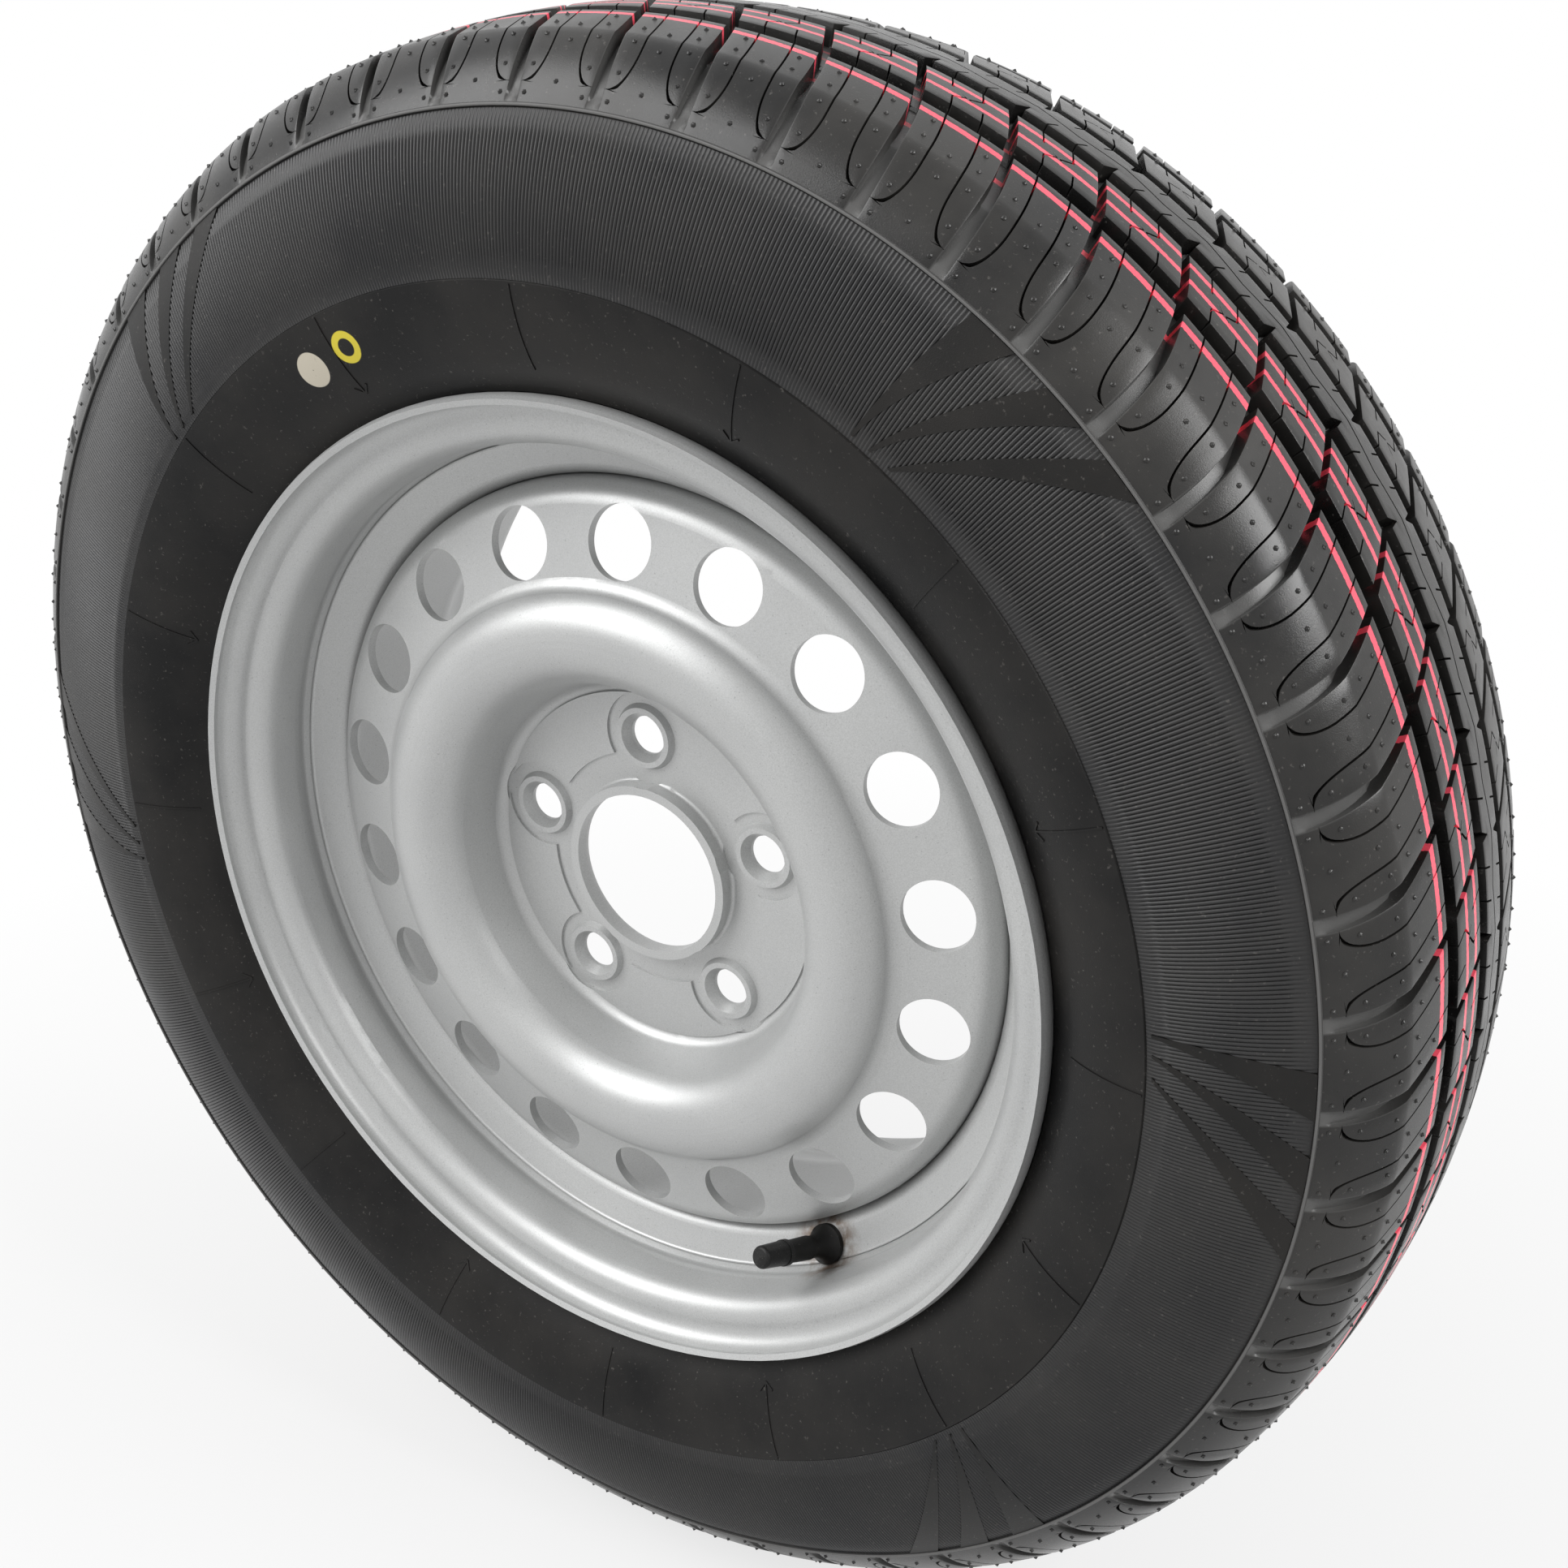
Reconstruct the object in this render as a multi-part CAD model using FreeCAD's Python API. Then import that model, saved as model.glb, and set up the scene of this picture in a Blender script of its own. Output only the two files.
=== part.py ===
import FreeCAD, Part
import math
import os

# Steel disc wheel with a radial tyre and a snap-in valve, in millimetres.
# The wheel turns about Y. Its outer, dished face looks along -Y, +Z is up, and
# the origin lies on the axle line in the middle of the rim's width.

Vector = FreeCAD.Vector
ORIGIN = Vector(0, 0, 0)
AXLE = Vector(0, 1, 0)

# Rim: rolled steel ring, measured on its tyre side
RIM_WIDTH = 139.7
RIM_SHEET = 2.5
BEAD_SEAT_R = 177.4
BEAD_SEAT_TAPER = 5.0
FLANGE_HEIGHT = 17.3
FLANGE_CURL_R = 9.5
FLANGE_LIP = 13.6
LIP_DROOP = 1.5
LIP_BEND_LENGTH = 3.0
LIP_BEND_R = 6.0
HEEL_R = 6.5
HUMP_FROM_FLANGE = 21.0
HUMP_HALF_WIDTH = 4.6
HUMP_RISE = 1.6
HUMP_R = 5.0
HUMP_FOOT_R = 2.5
WELL_DEPTH = 17.3
WELL_WALL_FROM_FLANGE = 26.3
WELL_WALL_ANGLE = 23.5
WELL_FLOOR_END_Y = 14.0
WELL_RAMP_END_Y = 42.0
WELL_SHOULDER_R = 4.0
WELL_CORNER_R = 5.0
WELL_RAMP_R = 12.0
DRILL_REACH = 10.0

# Disc: pressed steel centre, measured on its outer face
HUB_OFFSET = 30.0
DISC_SHEET = 3.6
DISC_SEAT_CLEARANCE = 0.1
BORE_R = 33.3
COLLAR_HEIGHT = 6.4
COLLAR_ROOT_R = 1.5
HUB_FLAT_R = 76.5
HUB_CORNER_R = 6.0
CREST_INNER_R = 86.5
CREST_OUTER_R = 113.5
CREST_HEIGHT = 31.2
CREST_ROUND_R = 18.0
CREASE_R = 119.5
CREASE_HEIGHT = 18.9
CREASE_ROUND_R = 7.0
ANNULUS_SLOPE = 12.0
DISC_EDGE_ROUND_R = 11.0
DISC_FLANGE_END_Y = 2.0

# Hand holes round the disc
VENT_COUNT = 18
VENT_CIRCLE_R = 136.9
VENT_HOLE_R = 14.0
VENT_CLOCK = 2.3

# Bolt holes with cone seats in raised bosses
BOLT_COUNT = 5
BOLT_CIRCLE_D = 112.0
BOLT_HOLE_R = 7.75
BOLT_SEAT_R = 10.0
BOLT_SEAT_ANGLE = 60.0
BOSS_BASE_R = 14.5
BOSS_TOP_R = 12.2
BOSS_HEIGHT = 2.5
BOSS_RECESS_R = 12.0
BOSS_RECESS_DEPTH = 0.6
SOCKET_R = 19.5

# Raised lands between the bolts, relieved at the back so that the hub bears round the bolts
LAND_INNER_R = 49.0
LAND_OUTER_R = 73.5
LAND_RISE = 1.0
LAND_BOLT_CLEAR_R = 18.0

# Weld beads between the disc's flange and the rim
WELD_COUNT = 6
WELD_ARC = 24.0
WELD_LEG = 3.4
WELD_SWELL = 0.35
WELD_FIT = 0.05

# Tyre: the upper sidewall is a quarter ellipse from the widest place to the crown
TYRE_R = 314.3
CROWN_R = 277.0
TREAD_HALF_WIDTH = 62.0
CROWN_BLEND_HALF_WIDTH = 51.4
SHOULDER_RING_DROP = 27.8
WIDEST_R = 235.5
WIDEST_HALF_WIDTH = 92.5
LOWER_WALL_SWELL = 2.7
LIP_GAP_RISE = 4.5
LIP_GAP_FLARE = 2.6
CURL_WRAP_ANGLE = 75.0
TYRE_ON_RIM_CLEARANCE = 0.3
BEAD_TO_HUMP = 1.4
BEAD_TOP_DROP = 3.0
BEAD_TOP_FLARE = 4.0
TREAD_THICKNESS = 14.5
WALL_THICKNESS = 7.7
LINER_CROWN_R = 290.0
LINER_EDGE_INSET = 4.0
LINER_SWELL = 6.1
LINER_CORNER_SWELL = 3.1

# Tread: grooves given by the axial place of their two edges, outer side first
GROOVES = ((-37.4, -29.4), (-9.2, -0.8), (17.1, 23.3), (43.5, 50.5))
GROOVE_DEPTH = 7.5
GROOVE_DRAFT = 0.8
TREAD_SECTORS = 8
PITCHES_PER_SECTOR = 7
SLOT_DEPTH = 6.5
SLOT_SHOULDER_DEPTH = 2.8
SLOT_END_DEPTH = 0.8
SLOT_END_OVERRUN = 1.5
SLOT_MOUTH_WIDTH = 5.0
SLOT_TREAD_WIDTH = 3.6
SLOT_NOTCH_REACH = 5.0
SLOT_NOTCH_WIDTH = 1.0
SLOT_NOTCH_DEPTH = 5.0
SLOT_SWEEP_DEG = 0.00952
SLOT_SWEEP_POWER = 1.491
SLOT_SPILL_PITCHES = 2

# Valve: lengths along its own axis from the rim's air side, positive towards the cap
VALVE_CLOCK = 150.5
VALVE_HOLE_R = 5.65
VALVE_BULB_R = 8.2
VALVE_BULB_EDGE = 2.2
VALVE_PLUG_R = 7.9
VALVE_PLUG_LENGTH = 8.5
VALVE_PLUG_TIP_R = 5.6
VALVE_NECK_R = 4.9
VALVE_NECK_START = 13.0
VALVE_NECK_HOLLOW = 1.6
VALVE_SLEEVE_TIP_R = 4.5
VALVE_SLEEVE_END = 25.0
VALVE_FIT = 0.02
STEM_R = 3.2
STEM_THREAD_R = 3.87
STEM_END = 34.0
STEM_CHAMFER = 0.5
STEM_CHAMBER_R = 2.55
STEM_CHAMBER_START = 26.0
STEM_SEAT_R = 2.25
STEM_SEAT_START = 22.0
STEM_LOWER_BORE_R = 2.0
STEM_LOWER_BORE_START = 10.0
STEM_PASSAGE_R = 1.3

# Valve core
CORE_FIT = 0.05
PLUG_START = 27.5
PLUG_END = 33.2
PLUG_BORE_R = 1.0
PLUG_SLOT_WIDTH = 2.4
PLUG_SLOT_DEPTH = 2.0
BARREL_R = 1.9
BARREL_BORE_R = 1.4
BARREL_START = 16.5
BARREL_LIP = 1.2
BARREL_LIP_BORE_R = 0.75
SEAL_RING_LENGTH = 2.6
PIN_R = 0.55
PIN_START = 13.2
PIN_TIP = 33.0
PIN_COLLAR_R = 1.2
PIN_COLLAR_START = 25.0
PIN_COLLAR_LENGTH = 0.7
CUP_R = 1.7
CUP_LENGTH = 2.2
CUP_WALL = 0.3
SPRING_R = 1.0
SPRING_WIRE_R = 0.14
SPRING_TURNS = 6

# Valve cap
CAP_START = 25.4
CAP_LENGTH = 15.6
CAP_R = 4.95
CAP_END_R = 4.6
CAP_DOME_R = 1.6
CAP_DOME_RISE = 0.5
CAP_COLLAR_R = 5.25
CAP_COLLAR_LENGTH = 2.2
CAP_BORE_CLEARANCE = 0.18
CAP_SEAL_THICKNESS = 1.3
CAP_SEAL_GAP = 0.1

# Places that follow from the sizes above
RIM_HALF = RIM_WIDTH / 2
LIP_R = BEAD_SEAT_R + FLANGE_HEIGHT
WELL_R = BEAD_SEAT_R - WELL_DEPTH
SEAT_SLOPE = math.tan(math.radians(BEAD_SEAT_TAPER))
HUB_BACK_Y = -HUB_OFFSET
HUB_FACE_Y = HUB_BACK_Y - DISC_SHEET
DISC_RIM_R = WELL_R - RIM_SHEET - DISC_SEAT_CLEARANCE
BOLT_CIRCLE_R = BOLT_CIRCLE_D / 2
SECTOR_DEG = 360.0 / TREAD_SECTORS
PITCH_DEG = SECTOR_DEG / PITCHES_PER_SECTOR
OUTER_RIB_MID_Y = (GROOVES[0][0] - TREAD_HALF_WIDTH) / 2
LINER_EDGE_Y = TREAD_HALF_WIDTH - LINER_EDGE_INSET
BEAD_TOE_Y = RIM_HALF - HUMP_FROM_FLANGE + HUMP_HALF_WIDTH + BEAD_TO_HUMP
SHOULDER_RING_R = TYRE_R - SHOULDER_RING_DROP


def point(radius, y):
    """A point of a section: its distance from the axle line and its place along it."""
    return Vector(radius, y, 0)


def line(start, end):
    """A straight edge between two section points."""
    return Part.LineSegment(start, end).toShape()


def arc3(start, middle, end):
    """An arc edge through three section points."""
    return Part.Arc(start, middle, end).toShape()


def left_of(start, end):
    """Unit vector to the left of a run."""
    run = (end - start).normalize()
    return Vector(-run.y, run.x, 0)


def bowed(start, end, swell):
    """An arc edge whose middle stands the swell to the left of its chord."""
    return arc3(start, (start + end) * 0.5 + left_of(start, end) * swell, end)


def rounded_edges(corners, aside=0.0):
    """Straight runs through (radius, y, corner radius) points with tangent arcs, moved aside to the left."""
    stops = [point(radius, y) for radius, y, _ in corners]
    edges = []
    start = stops[0] + left_of(stops[0], stops[1]) * aside
    for index, here in enumerate(stops[1:-1], 1):
        corner_r = corners[index][2]
        into = (stops[index - 1] - here).normalize()
        out = (stops[index + 1] - here).normalize()
        half_angle = into.getAngle(out) / 2
        setback = corner_r / math.tan(half_angle)
        centre = here + (into + out).normalize() * (corner_r / math.sin(half_angle))
        middle = centre + (here - centre).normalize() * corner_r
        touches = [here + into * setback, middle, here + out * setback]
        turns_left = left_of(stops[index - 1], here).dot(centre - touches[0]) > 0
        shift = aside if turns_left else -aside
        arc = [touch + (centre - touch).normalize() * shift for touch in touches]
        edges += [line(start, arc[0]), arc3(*arc)]
        start = arc[2]
    return edges + [line(start, stops[-1] + left_of(stops[-2], stops[-1]) * aside)]


def sheet_section(corners, thickness):
    """A strip of sheet metal: the rounded line given, thickened to its left."""
    near = rounded_edges(corners)
    far = rounded_edges(corners, thickness)
    ends = [
        line(near[0].Vertexes[0].Point, far[0].Vertexes[0].Point),
        line(near[-1].Vertexes[-1].Point, far[-1].Vertexes[-1].Point),
    ]
    return Part.Face(Part.Wire(Part.__sortEdges__(near + far + ends)))


def turned(section):
    """The section carried once round the axle line."""
    return section.revolve(ORIGIN, AXLE, 360)


def clocked(shape, degrees):
    """A copy turned about the axle line, clockwise as seen from the outer side."""
    copy = shape.copy()
    copy.rotate(ORIGIN, AXLE, degrees)
    return copy


def ring_of(shape, count, first=0.0):
    """Copies of a shape spaced evenly round the axle line."""
    return [clocked(shape, first + 360.0 * index / count) for index in range(count)]


def seat_radius(y):
    """Radius of the tapered bead seat at a place along the axle line."""
    return BEAD_SEAT_R - (RIM_HALF - abs(y)) * SEAT_SLOPE


# Rim


def rim_side(side):
    """Corners of one side of the rim, from its lip to the foot of its hump."""
    flange = RIM_HALF
    lip_end = flange + FLANGE_LIP
    lip_bend = lip_end - LIP_BEND_LENGTH
    hump = flange - HUMP_FROM_FLANGE
    outer_foot = hump + HUMP_HALF_WIDTH
    inner_foot = hump - HUMP_HALF_WIDTH
    return [
        (LIP_R - LIP_DROOP, side * lip_end, 0),
        (LIP_R, side * lip_bend, LIP_BEND_R),
        (LIP_R, side * flange, FLANGE_CURL_R),
        (BEAD_SEAT_R, side * flange, HEEL_R),
        (seat_radius(outer_foot), side * outer_foot, HUMP_R),
        (seat_radius(hump) + HUMP_RISE, side * hump, HUMP_R),
        (seat_radius(inner_foot), side * inner_foot, HUMP_FOOT_R),
    ]


WALL_TOP_Y = -(RIM_HALF - WELL_WALL_FROM_FLANGE)
WALL_TOP_R = seat_radius(WALL_TOP_Y)
WALL_FOOT_Y = WALL_TOP_Y + (WALL_TOP_R - WELL_R) * math.tan(math.radians(WELL_WALL_ANGLE))


def make_rim():
    """One rolled section: two flanges, two humped bead seats and the drop well, with the valve hole."""
    well = [
        (WALL_TOP_R, WALL_TOP_Y, WELL_SHOULDER_R),
        (WELL_R, WALL_FOOT_Y, WELL_CORNER_R),
        (WELL_R, WELL_FLOOR_END_Y, WELL_RAMP_R),
        (seat_radius(WELL_RAMP_END_Y), WELL_RAMP_END_Y, WELL_RAMP_R),
    ]
    corners = rim_side(-1) + well + rim_side(1)[::-1]
    ring = turned(sheet_section(corners, RIM_SHEET))
    drill = along_valve(Part.makeCylinder(VALVE_HOLE_R, 2 * DRILL_REACH, Vector(0, 0, -DRILL_REACH)))
    return ring.cut(drill)


# Disc


def annulus_y(radius):
    """Height of the cone that carries the hand holes."""
    rise = (radius - CREASE_R) * math.tan(math.radians(ANNULUS_SLOPE))
    return HUB_FACE_Y - CREASE_HEIGHT + rise


def bolt_positions():
    """Clock angles of the bolt holes, the first at the top."""
    return [360.0 * index / BOLT_COUNT for index in range(BOLT_COUNT)]


def at_bolt(shape, clock):
    """A shape made about the Y axis, moved out to one bolt hole."""
    copy = shape.copy()
    copy.translate(Vector(0, 0, BOLT_CIRCLE_R))
    return clocked(copy, clock)


def along_y(radius_a, radius_b, y_a, y_b):
    """A cylinder or cone about the Y axis from y_a to y_b."""
    low, high = Vector(0, y_a, 0), y_b - y_a
    if radius_a == radius_b:
        return Part.makeCylinder(radius_a, high, low, AXLE)
    return Part.makeCone(radius_a, radius_b, high, low, AXLE)


def disc_blank():
    """The pressed dish: collar, hub flat, bowl, round crest, vented cone and the flange in the rim."""
    collar_r = BORE_R + DISC_SHEET
    corners = [
        (collar_r, HUB_FACE_Y - COLLAR_HEIGHT, 0),
        (collar_r, HUB_FACE_Y, COLLAR_ROOT_R),
        (HUB_FLAT_R, HUB_FACE_Y, HUB_CORNER_R),
        (CREST_INNER_R, HUB_FACE_Y - CREST_HEIGHT, CREST_ROUND_R),
        (CREST_OUTER_R, HUB_FACE_Y - CREST_HEIGHT, CREST_ROUND_R),
        (CREASE_R, HUB_FACE_Y - CREASE_HEIGHT, CREASE_ROUND_R),
        (DISC_RIM_R, annulus_y(DISC_RIM_R), DISC_EDGE_ROUND_R),
        (DISC_RIM_R, DISC_FLANGE_END_Y, 0),
    ]
    return turned(sheet_section(corners, DISC_SHEET))


def lands(y_low, y_high, outer_r):
    """The ring sectors between the bolts, as plates from y_low to y_high."""
    plate = along_y(outer_r, outer_r, y_low, y_high).cut(along_y(LAND_INNER_R, LAND_INNER_R, y_low, y_high))
    clear = along_y(LAND_BOLT_CLEAR_R, LAND_BOLT_CLEAR_R, y_low, y_high)
    return plate.cut([at_bolt(clear, clock) for clock in bolt_positions()])


def make_disc():
    """The pressed dish with its lands, bolt bosses, cone seats, socket room and hand holes."""
    boss_top = HUB_FACE_Y - BOSS_HEIGHT
    recess_top = HUB_BACK_Y - BOSS_RECESS_DEPTH
    seat_depth = (BOLT_SEAT_R - BOLT_HOLE_R) / math.tan(math.radians(BOLT_SEAT_ANGLE / 2))
    recess_taper = BOSS_RECESS_DEPTH * (BOSS_BASE_R - BOSS_TOP_R) / BOSS_HEIGHT
    boss = along_y(BOSS_TOP_R, BOSS_BASE_R, boss_top, HUB_FACE_Y + DISC_SHEET / 2)
    socket = along_y(SOCKET_R, SOCKET_R, HUB_FACE_Y - CREST_HEIGHT, HUB_FACE_Y)
    seat = along_y(BOLT_SEAT_R, BOLT_HOLE_R, boss_top, boss_top + seat_depth)
    hole = along_y(BOLT_HOLE_R, BOLT_HOLE_R, boss_top, HUB_BACK_Y)
    recess = along_y(BOSS_RECESS_R - recess_taper, BOSS_RECESS_R, recess_top, HUB_BACK_Y)
    clocks = bolt_positions()
    disc = disc_blank()
    disc = disc.cut([at_bolt(socket, clock) for clock in clocks])
    disc = disc.fuse(lands(HUB_FACE_Y - LAND_RISE, HUB_FACE_Y + DISC_SHEET / 2, LAND_OUTER_R))
    disc = disc.cut(lands(HUB_BACK_Y - LAND_RISE, HUB_BACK_Y, HUB_FLAT_R - HUB_CORNER_R))
    disc = disc.fuse([at_bolt(boss, clock) for clock in clocks])
    disc = disc.cut([at_bolt(cut, clock) for cut in (seat, hole, recess) for clock in clocks])
    return disc.cut(ring_of(vent_drill(), VENT_COUNT, VENT_CLOCK)).removeSplitter()


def vent_drill():
    """A drill square to the vented cone, at the top of the hand-hole circle."""
    slope = math.radians(ANNULUS_SLOPE)
    inward = Vector(0, math.cos(slope), -math.sin(slope))
    centre = Vector(0, annulus_y(VENT_CIRCLE_R), VENT_CIRCLE_R)
    return Part.makeCylinder(VENT_HOLE_R, 2 * DRILL_REACH, centre - inward * DRILL_REACH, inward)


def make_welds():
    """Short fillet beads in the corner of the disc's flange end and the rim's well."""
    root_r = DISC_RIM_R + DISC_SEAT_CLEARANCE - WELD_FIT
    root_y = DISC_FLANGE_END_Y + WELD_FIT
    toe = point(root_r - WELD_LEG, root_y)
    root = point(root_r, root_y)
    crown = point(root_r, root_y + WELD_LEG)
    edges = [line(toe, root), line(root, crown), bowed(crown, toe, -WELD_SWELL)]
    bead = Part.Face(Part.Wire(edges)).revolve(ORIGIN, AXLE, WELD_ARC)
    return Part.makeCompound(ring_of(bead, WELD_COUNT))


# Tyre


def crown_radius(y):
    """Radius of the tread surface at a place across it."""
    return TYRE_R - CROWN_R + math.sqrt(CROWN_R ** 2 - y ** 2)


def liner_radius(y):
    """Radius of the inner surface under the tread."""
    return TYRE_R - TREAD_THICKNESS - LINER_CROWN_R + math.sqrt(LINER_CROWN_R ** 2 - y ** 2)


def crown_arc(y_a, y_b):
    """One rib of the tread surface."""
    return arc3(*[point(crown_radius(y), y) for y in (y_a, (y_a + y_b) / 2, y_b)])


def tread_edges():
    """The tread from its outer to its inner edge: ribs and the grooves between them."""
    edges = []
    place = -TREAD_HALF_WIDTH
    for near, far in GROOVES:
        edges.append(crown_arc(place, near))
        floor = crown_radius((near + far) / 2) - GROOVE_DEPTH
        stops = [
            point(crown_radius(near), near),
            point(floor, near + GROOVE_DRAFT),
            point(floor, far - GROOVE_DRAFT),
            point(crown_radius(far), far),
        ]
        edges += [line(a, b) for a, b in zip(stops, stops[1:])]
        place = far
    return edges + [crown_arc(place, TREAD_HALF_WIDTH)]


def sidewall_half_width(radius):
    """Half width of the upper sidewall at a radius."""
    share = (radius - WIDEST_R) / (crown_radius(CROWN_BLEND_HALF_WIDTH) - WIDEST_R)
    return CROWN_BLEND_HALF_WIDTH + (WIDEST_HALF_WIDTH - CROWN_BLEND_HALF_WIDTH) * math.sqrt(1 - share ** 2)


def sidewall_radius(half_width):
    """Radius of the upper sidewall at a half width."""
    share = (half_width - CROWN_BLEND_HALF_WIDTH) / (WIDEST_HALF_WIDTH - CROWN_BLEND_HALF_WIDTH)
    return WIDEST_R + (crown_radius(CROWN_BLEND_HALF_WIDTH) - WIDEST_R) * math.sqrt(1 - share ** 2)


SHOULDER_HALF_WIDTH = sidewall_half_width(SHOULDER_RING_R)
SHOULDER_MID_Y = (TREAD_HALF_WIDTH + SHOULDER_HALF_WIDTH) / 2


def sidewall_edges(side):
    """One outer side of the tyre, from the tread's edge down to the toe of its bead."""
    clear = TYRE_ON_RIM_CLEARANCE
    curl_centre = point(LIP_R - FLANGE_CURL_R, side * (RIM_HALF + FLANGE_CURL_R))
    curl = FLANGE_CURL_R + clear

    def on_curl(degrees):
        angle = math.radians(degrees)
        return curl_centre + Vector(curl * math.sin(angle), -side * curl * math.cos(angle), 0)

    upper_mid_r = (WIDEST_R + SHOULDER_RING_R) / 2
    tread_edge = point(crown_radius(TREAD_HALF_WIDTH), side * TREAD_HALF_WIDTH)
    shoulder_mid = point(sidewall_radius(SHOULDER_MID_Y), side * SHOULDER_MID_Y)
    shoulder = point(SHOULDER_RING_R, side * SHOULDER_HALF_WIDTH)
    upper_mid = point(upper_mid_r, side * sidewall_half_width(upper_mid_r))
    widest = point(WIDEST_R, side * WIDEST_HALF_WIDTH)
    wrap_end = on_curl(CURL_WRAP_ANGLE)
    above_lip = wrap_end + point(LIP_GAP_RISE, side * LIP_GAP_FLARE)
    heel = [
        (LIP_R - FLANGE_CURL_R, side * (RIM_HALF - clear), 0),
        (BEAD_SEAT_R + clear, side * (RIM_HALF - clear), HEEL_R - clear),
        (seat_radius(BEAD_TOE_Y) + clear, side * BEAD_TOE_Y, 0),
    ]
    return [
        arc3(tread_edge, shoulder_mid, shoulder),
        arc3(shoulder, upper_mid, widest),
        bowed(widest, above_lip, -side * LOWER_WALL_SWELL),
        line(above_lip, wrap_end),
        arc3(wrap_end, on_curl(CURL_WRAP_ANGLE / 2), on_curl(0)),
    ] + rounded_edges(heel)


def liner_edges(side):
    """One inner side of the tyre, from the toe of its bead up to the liner under the tread."""
    shoulder_r = SHOULDER_RING_R - WALL_THICKNESS
    upper_mid_r = (WIDEST_R + shoulder_r) / 2
    toe = point(seat_radius(BEAD_TOE_Y) + TYRE_ON_RIM_CLEARANCE, side * BEAD_TOE_Y)
    bead_top = point(LIP_R - BEAD_TOP_DROP, side * (BEAD_TOE_Y + BEAD_TOP_FLARE))
    widest = point(WIDEST_R, side * (WIDEST_HALF_WIDTH - WALL_THICKNESS))
    upper_mid = point(upper_mid_r, side * (sidewall_half_width(upper_mid_r) - WALL_THICKNESS))
    shoulder = point(shoulder_r, side * (sidewall_half_width(shoulder_r) - WALL_THICKNESS))
    edge = point(liner_radius(LINER_EDGE_Y), side * LINER_EDGE_Y)
    return [
        line(toe, bead_top),
        bowed(bead_top, widest, side * LINER_SWELL),
        arc3(widest, upper_mid, shoulder),
        bowed(shoulder, edge, side * LINER_CORNER_SWELL),
    ]


def tyre_section():
    """The moulded tyre's section: tread, two sidewalls, two beads and the inner lining."""
    liner = arc3(*[point(liner_radius(y), y) for y in (-LINER_EDGE_Y, 0, LINER_EDGE_Y)])
    edges = tread_edges() + [liner]
    for side in (-1, 1):
        edges += sidewall_edges(side) + liner_edges(side)
    return Part.Face(Part.Wire(Part.__sortEdges__(edges)))


def slot_shift(y):
    """Degrees by which a cross slot runs back round the tyre on its way from the shoulder to y."""
    reach = max(0.0, y + SHOULDER_HALF_WIDTH)
    return -SLOT_SWEEP_DEG * reach ** SLOT_SWEEP_POWER


def slot_floor_ring(groove_y, tip_y):
    """A stretch of the space above the slots' floor, from the notch's tip to where it runs out on the sidewall."""
    outside = TYRE_R + SLOT_DEPTH
    tip = point(crown_radius(tip_y) - SLOT_NOTCH_DEPTH, tip_y)
    inner = point(crown_radius(groove_y) - SLOT_DEPTH, groove_y)
    outer = point(crown_radius(OUTER_RIB_MID_Y) - SLOT_DEPTH, OUTER_RIB_MID_Y)
    bend = point(sidewall_radius(SHOULDER_MID_Y) - SLOT_SHOULDER_DEPTH, SLOT_SHOULDER_DEPTH - SHOULDER_MID_Y)
    mouth = point(SHOULDER_RING_R - SLOT_END_DEPTH, -SHOULDER_HALF_WIDTH - SLOT_END_DEPTH)
    edges = [
        line(tip, inner),
        line(inner, outer),
        arc3(outer, bend, mouth),
        line(mouth, point(outside, mouth.y)),
        line(point(outside, mouth.y), point(outside, tip_y)),
        line(point(outside, tip_y), tip),
    ]
    reach = SLOT_SPILL_PITCHES * PITCH_DEG
    start = clocked(Part.Face(Part.Wire(edges)), -90 - reach)
    return start.revolve(ORIGIN, AXLE, 2 * reach)


def slot_cutter(near_edge, rib_edge):
    """The room of one cross slot, near the top of the tyre. It runs from the outer shoulder over the groove
    between two edges and ends as a pointed notch in the rib beyond."""
    groove_y = (near_edge + rib_edge) / 2
    tip_y = rib_edge + SLOT_NOTCH_REACH
    stations = [
        (-SHOULDER_HALF_WIDTH - SLOT_END_OVERRUN, SLOT_MOUTH_WIDTH),
        (-TREAD_HALF_WIDTH, (SLOT_MOUTH_WIDTH + SLOT_TREAD_WIDTH) / 2),
        (GROOVES[0][0], SLOT_TREAD_WIDTH),
        (groove_y, SLOT_TREAD_WIDTH),
        (tip_y, SLOT_NOTCH_WIDTH),
    ]
    middle = slot_shift(OUTER_RIB_MID_Y)
    near = []
    far = []
    for y, width in stations:
        across = TYRE_R * math.radians(slot_shift(y) - middle)
        near.append(Vector(across - width / 2, y, WIDEST_R))
        far.append(Vector(across + width / 2, y, WIDEST_R))
    plan = Part.Face(Part.makePolygon(near + far[::-1] + near[:1]))
    plate = plan.extrude(Vector(0, 0, TYRE_R - WIDEST_R + SLOT_DEPTH))
    return clocked(plate.common(slot_floor_ring(groove_y, tip_y)), middle)


def make_tyre():
    """The moulded tyre: one sector with its grooves and cross slots, repeated all round and joined."""
    outer_slot = slot_cutter(*GROOVES[1])
    inner_slot = slot_cutter(-GROOVES[2][1], -GROOVES[2][0])
    inner_slot.rotate(ORIGIN, Vector(0, 0, 1), 180)
    cutters = []
    for index in range(-SLOT_SPILL_PITCHES, PITCHES_PER_SECTOR + SLOT_SPILL_PITCHES + 1):
        cutters.append(clocked(outer_slot, 90 + index * PITCH_DEG))
        cutters.append(clocked(inner_slot, 90 + (index + 0.5) * PITCH_DEG))
    sector = tyre_section().revolve(ORIGIN, AXLE, SECTOR_DEG).cut(cutters)
    sectors = ring_of(sector, TREAD_SECTORS)
    return sectors[0].multiFuse(sectors[1:]).removeSplitter()


# Valve


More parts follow.
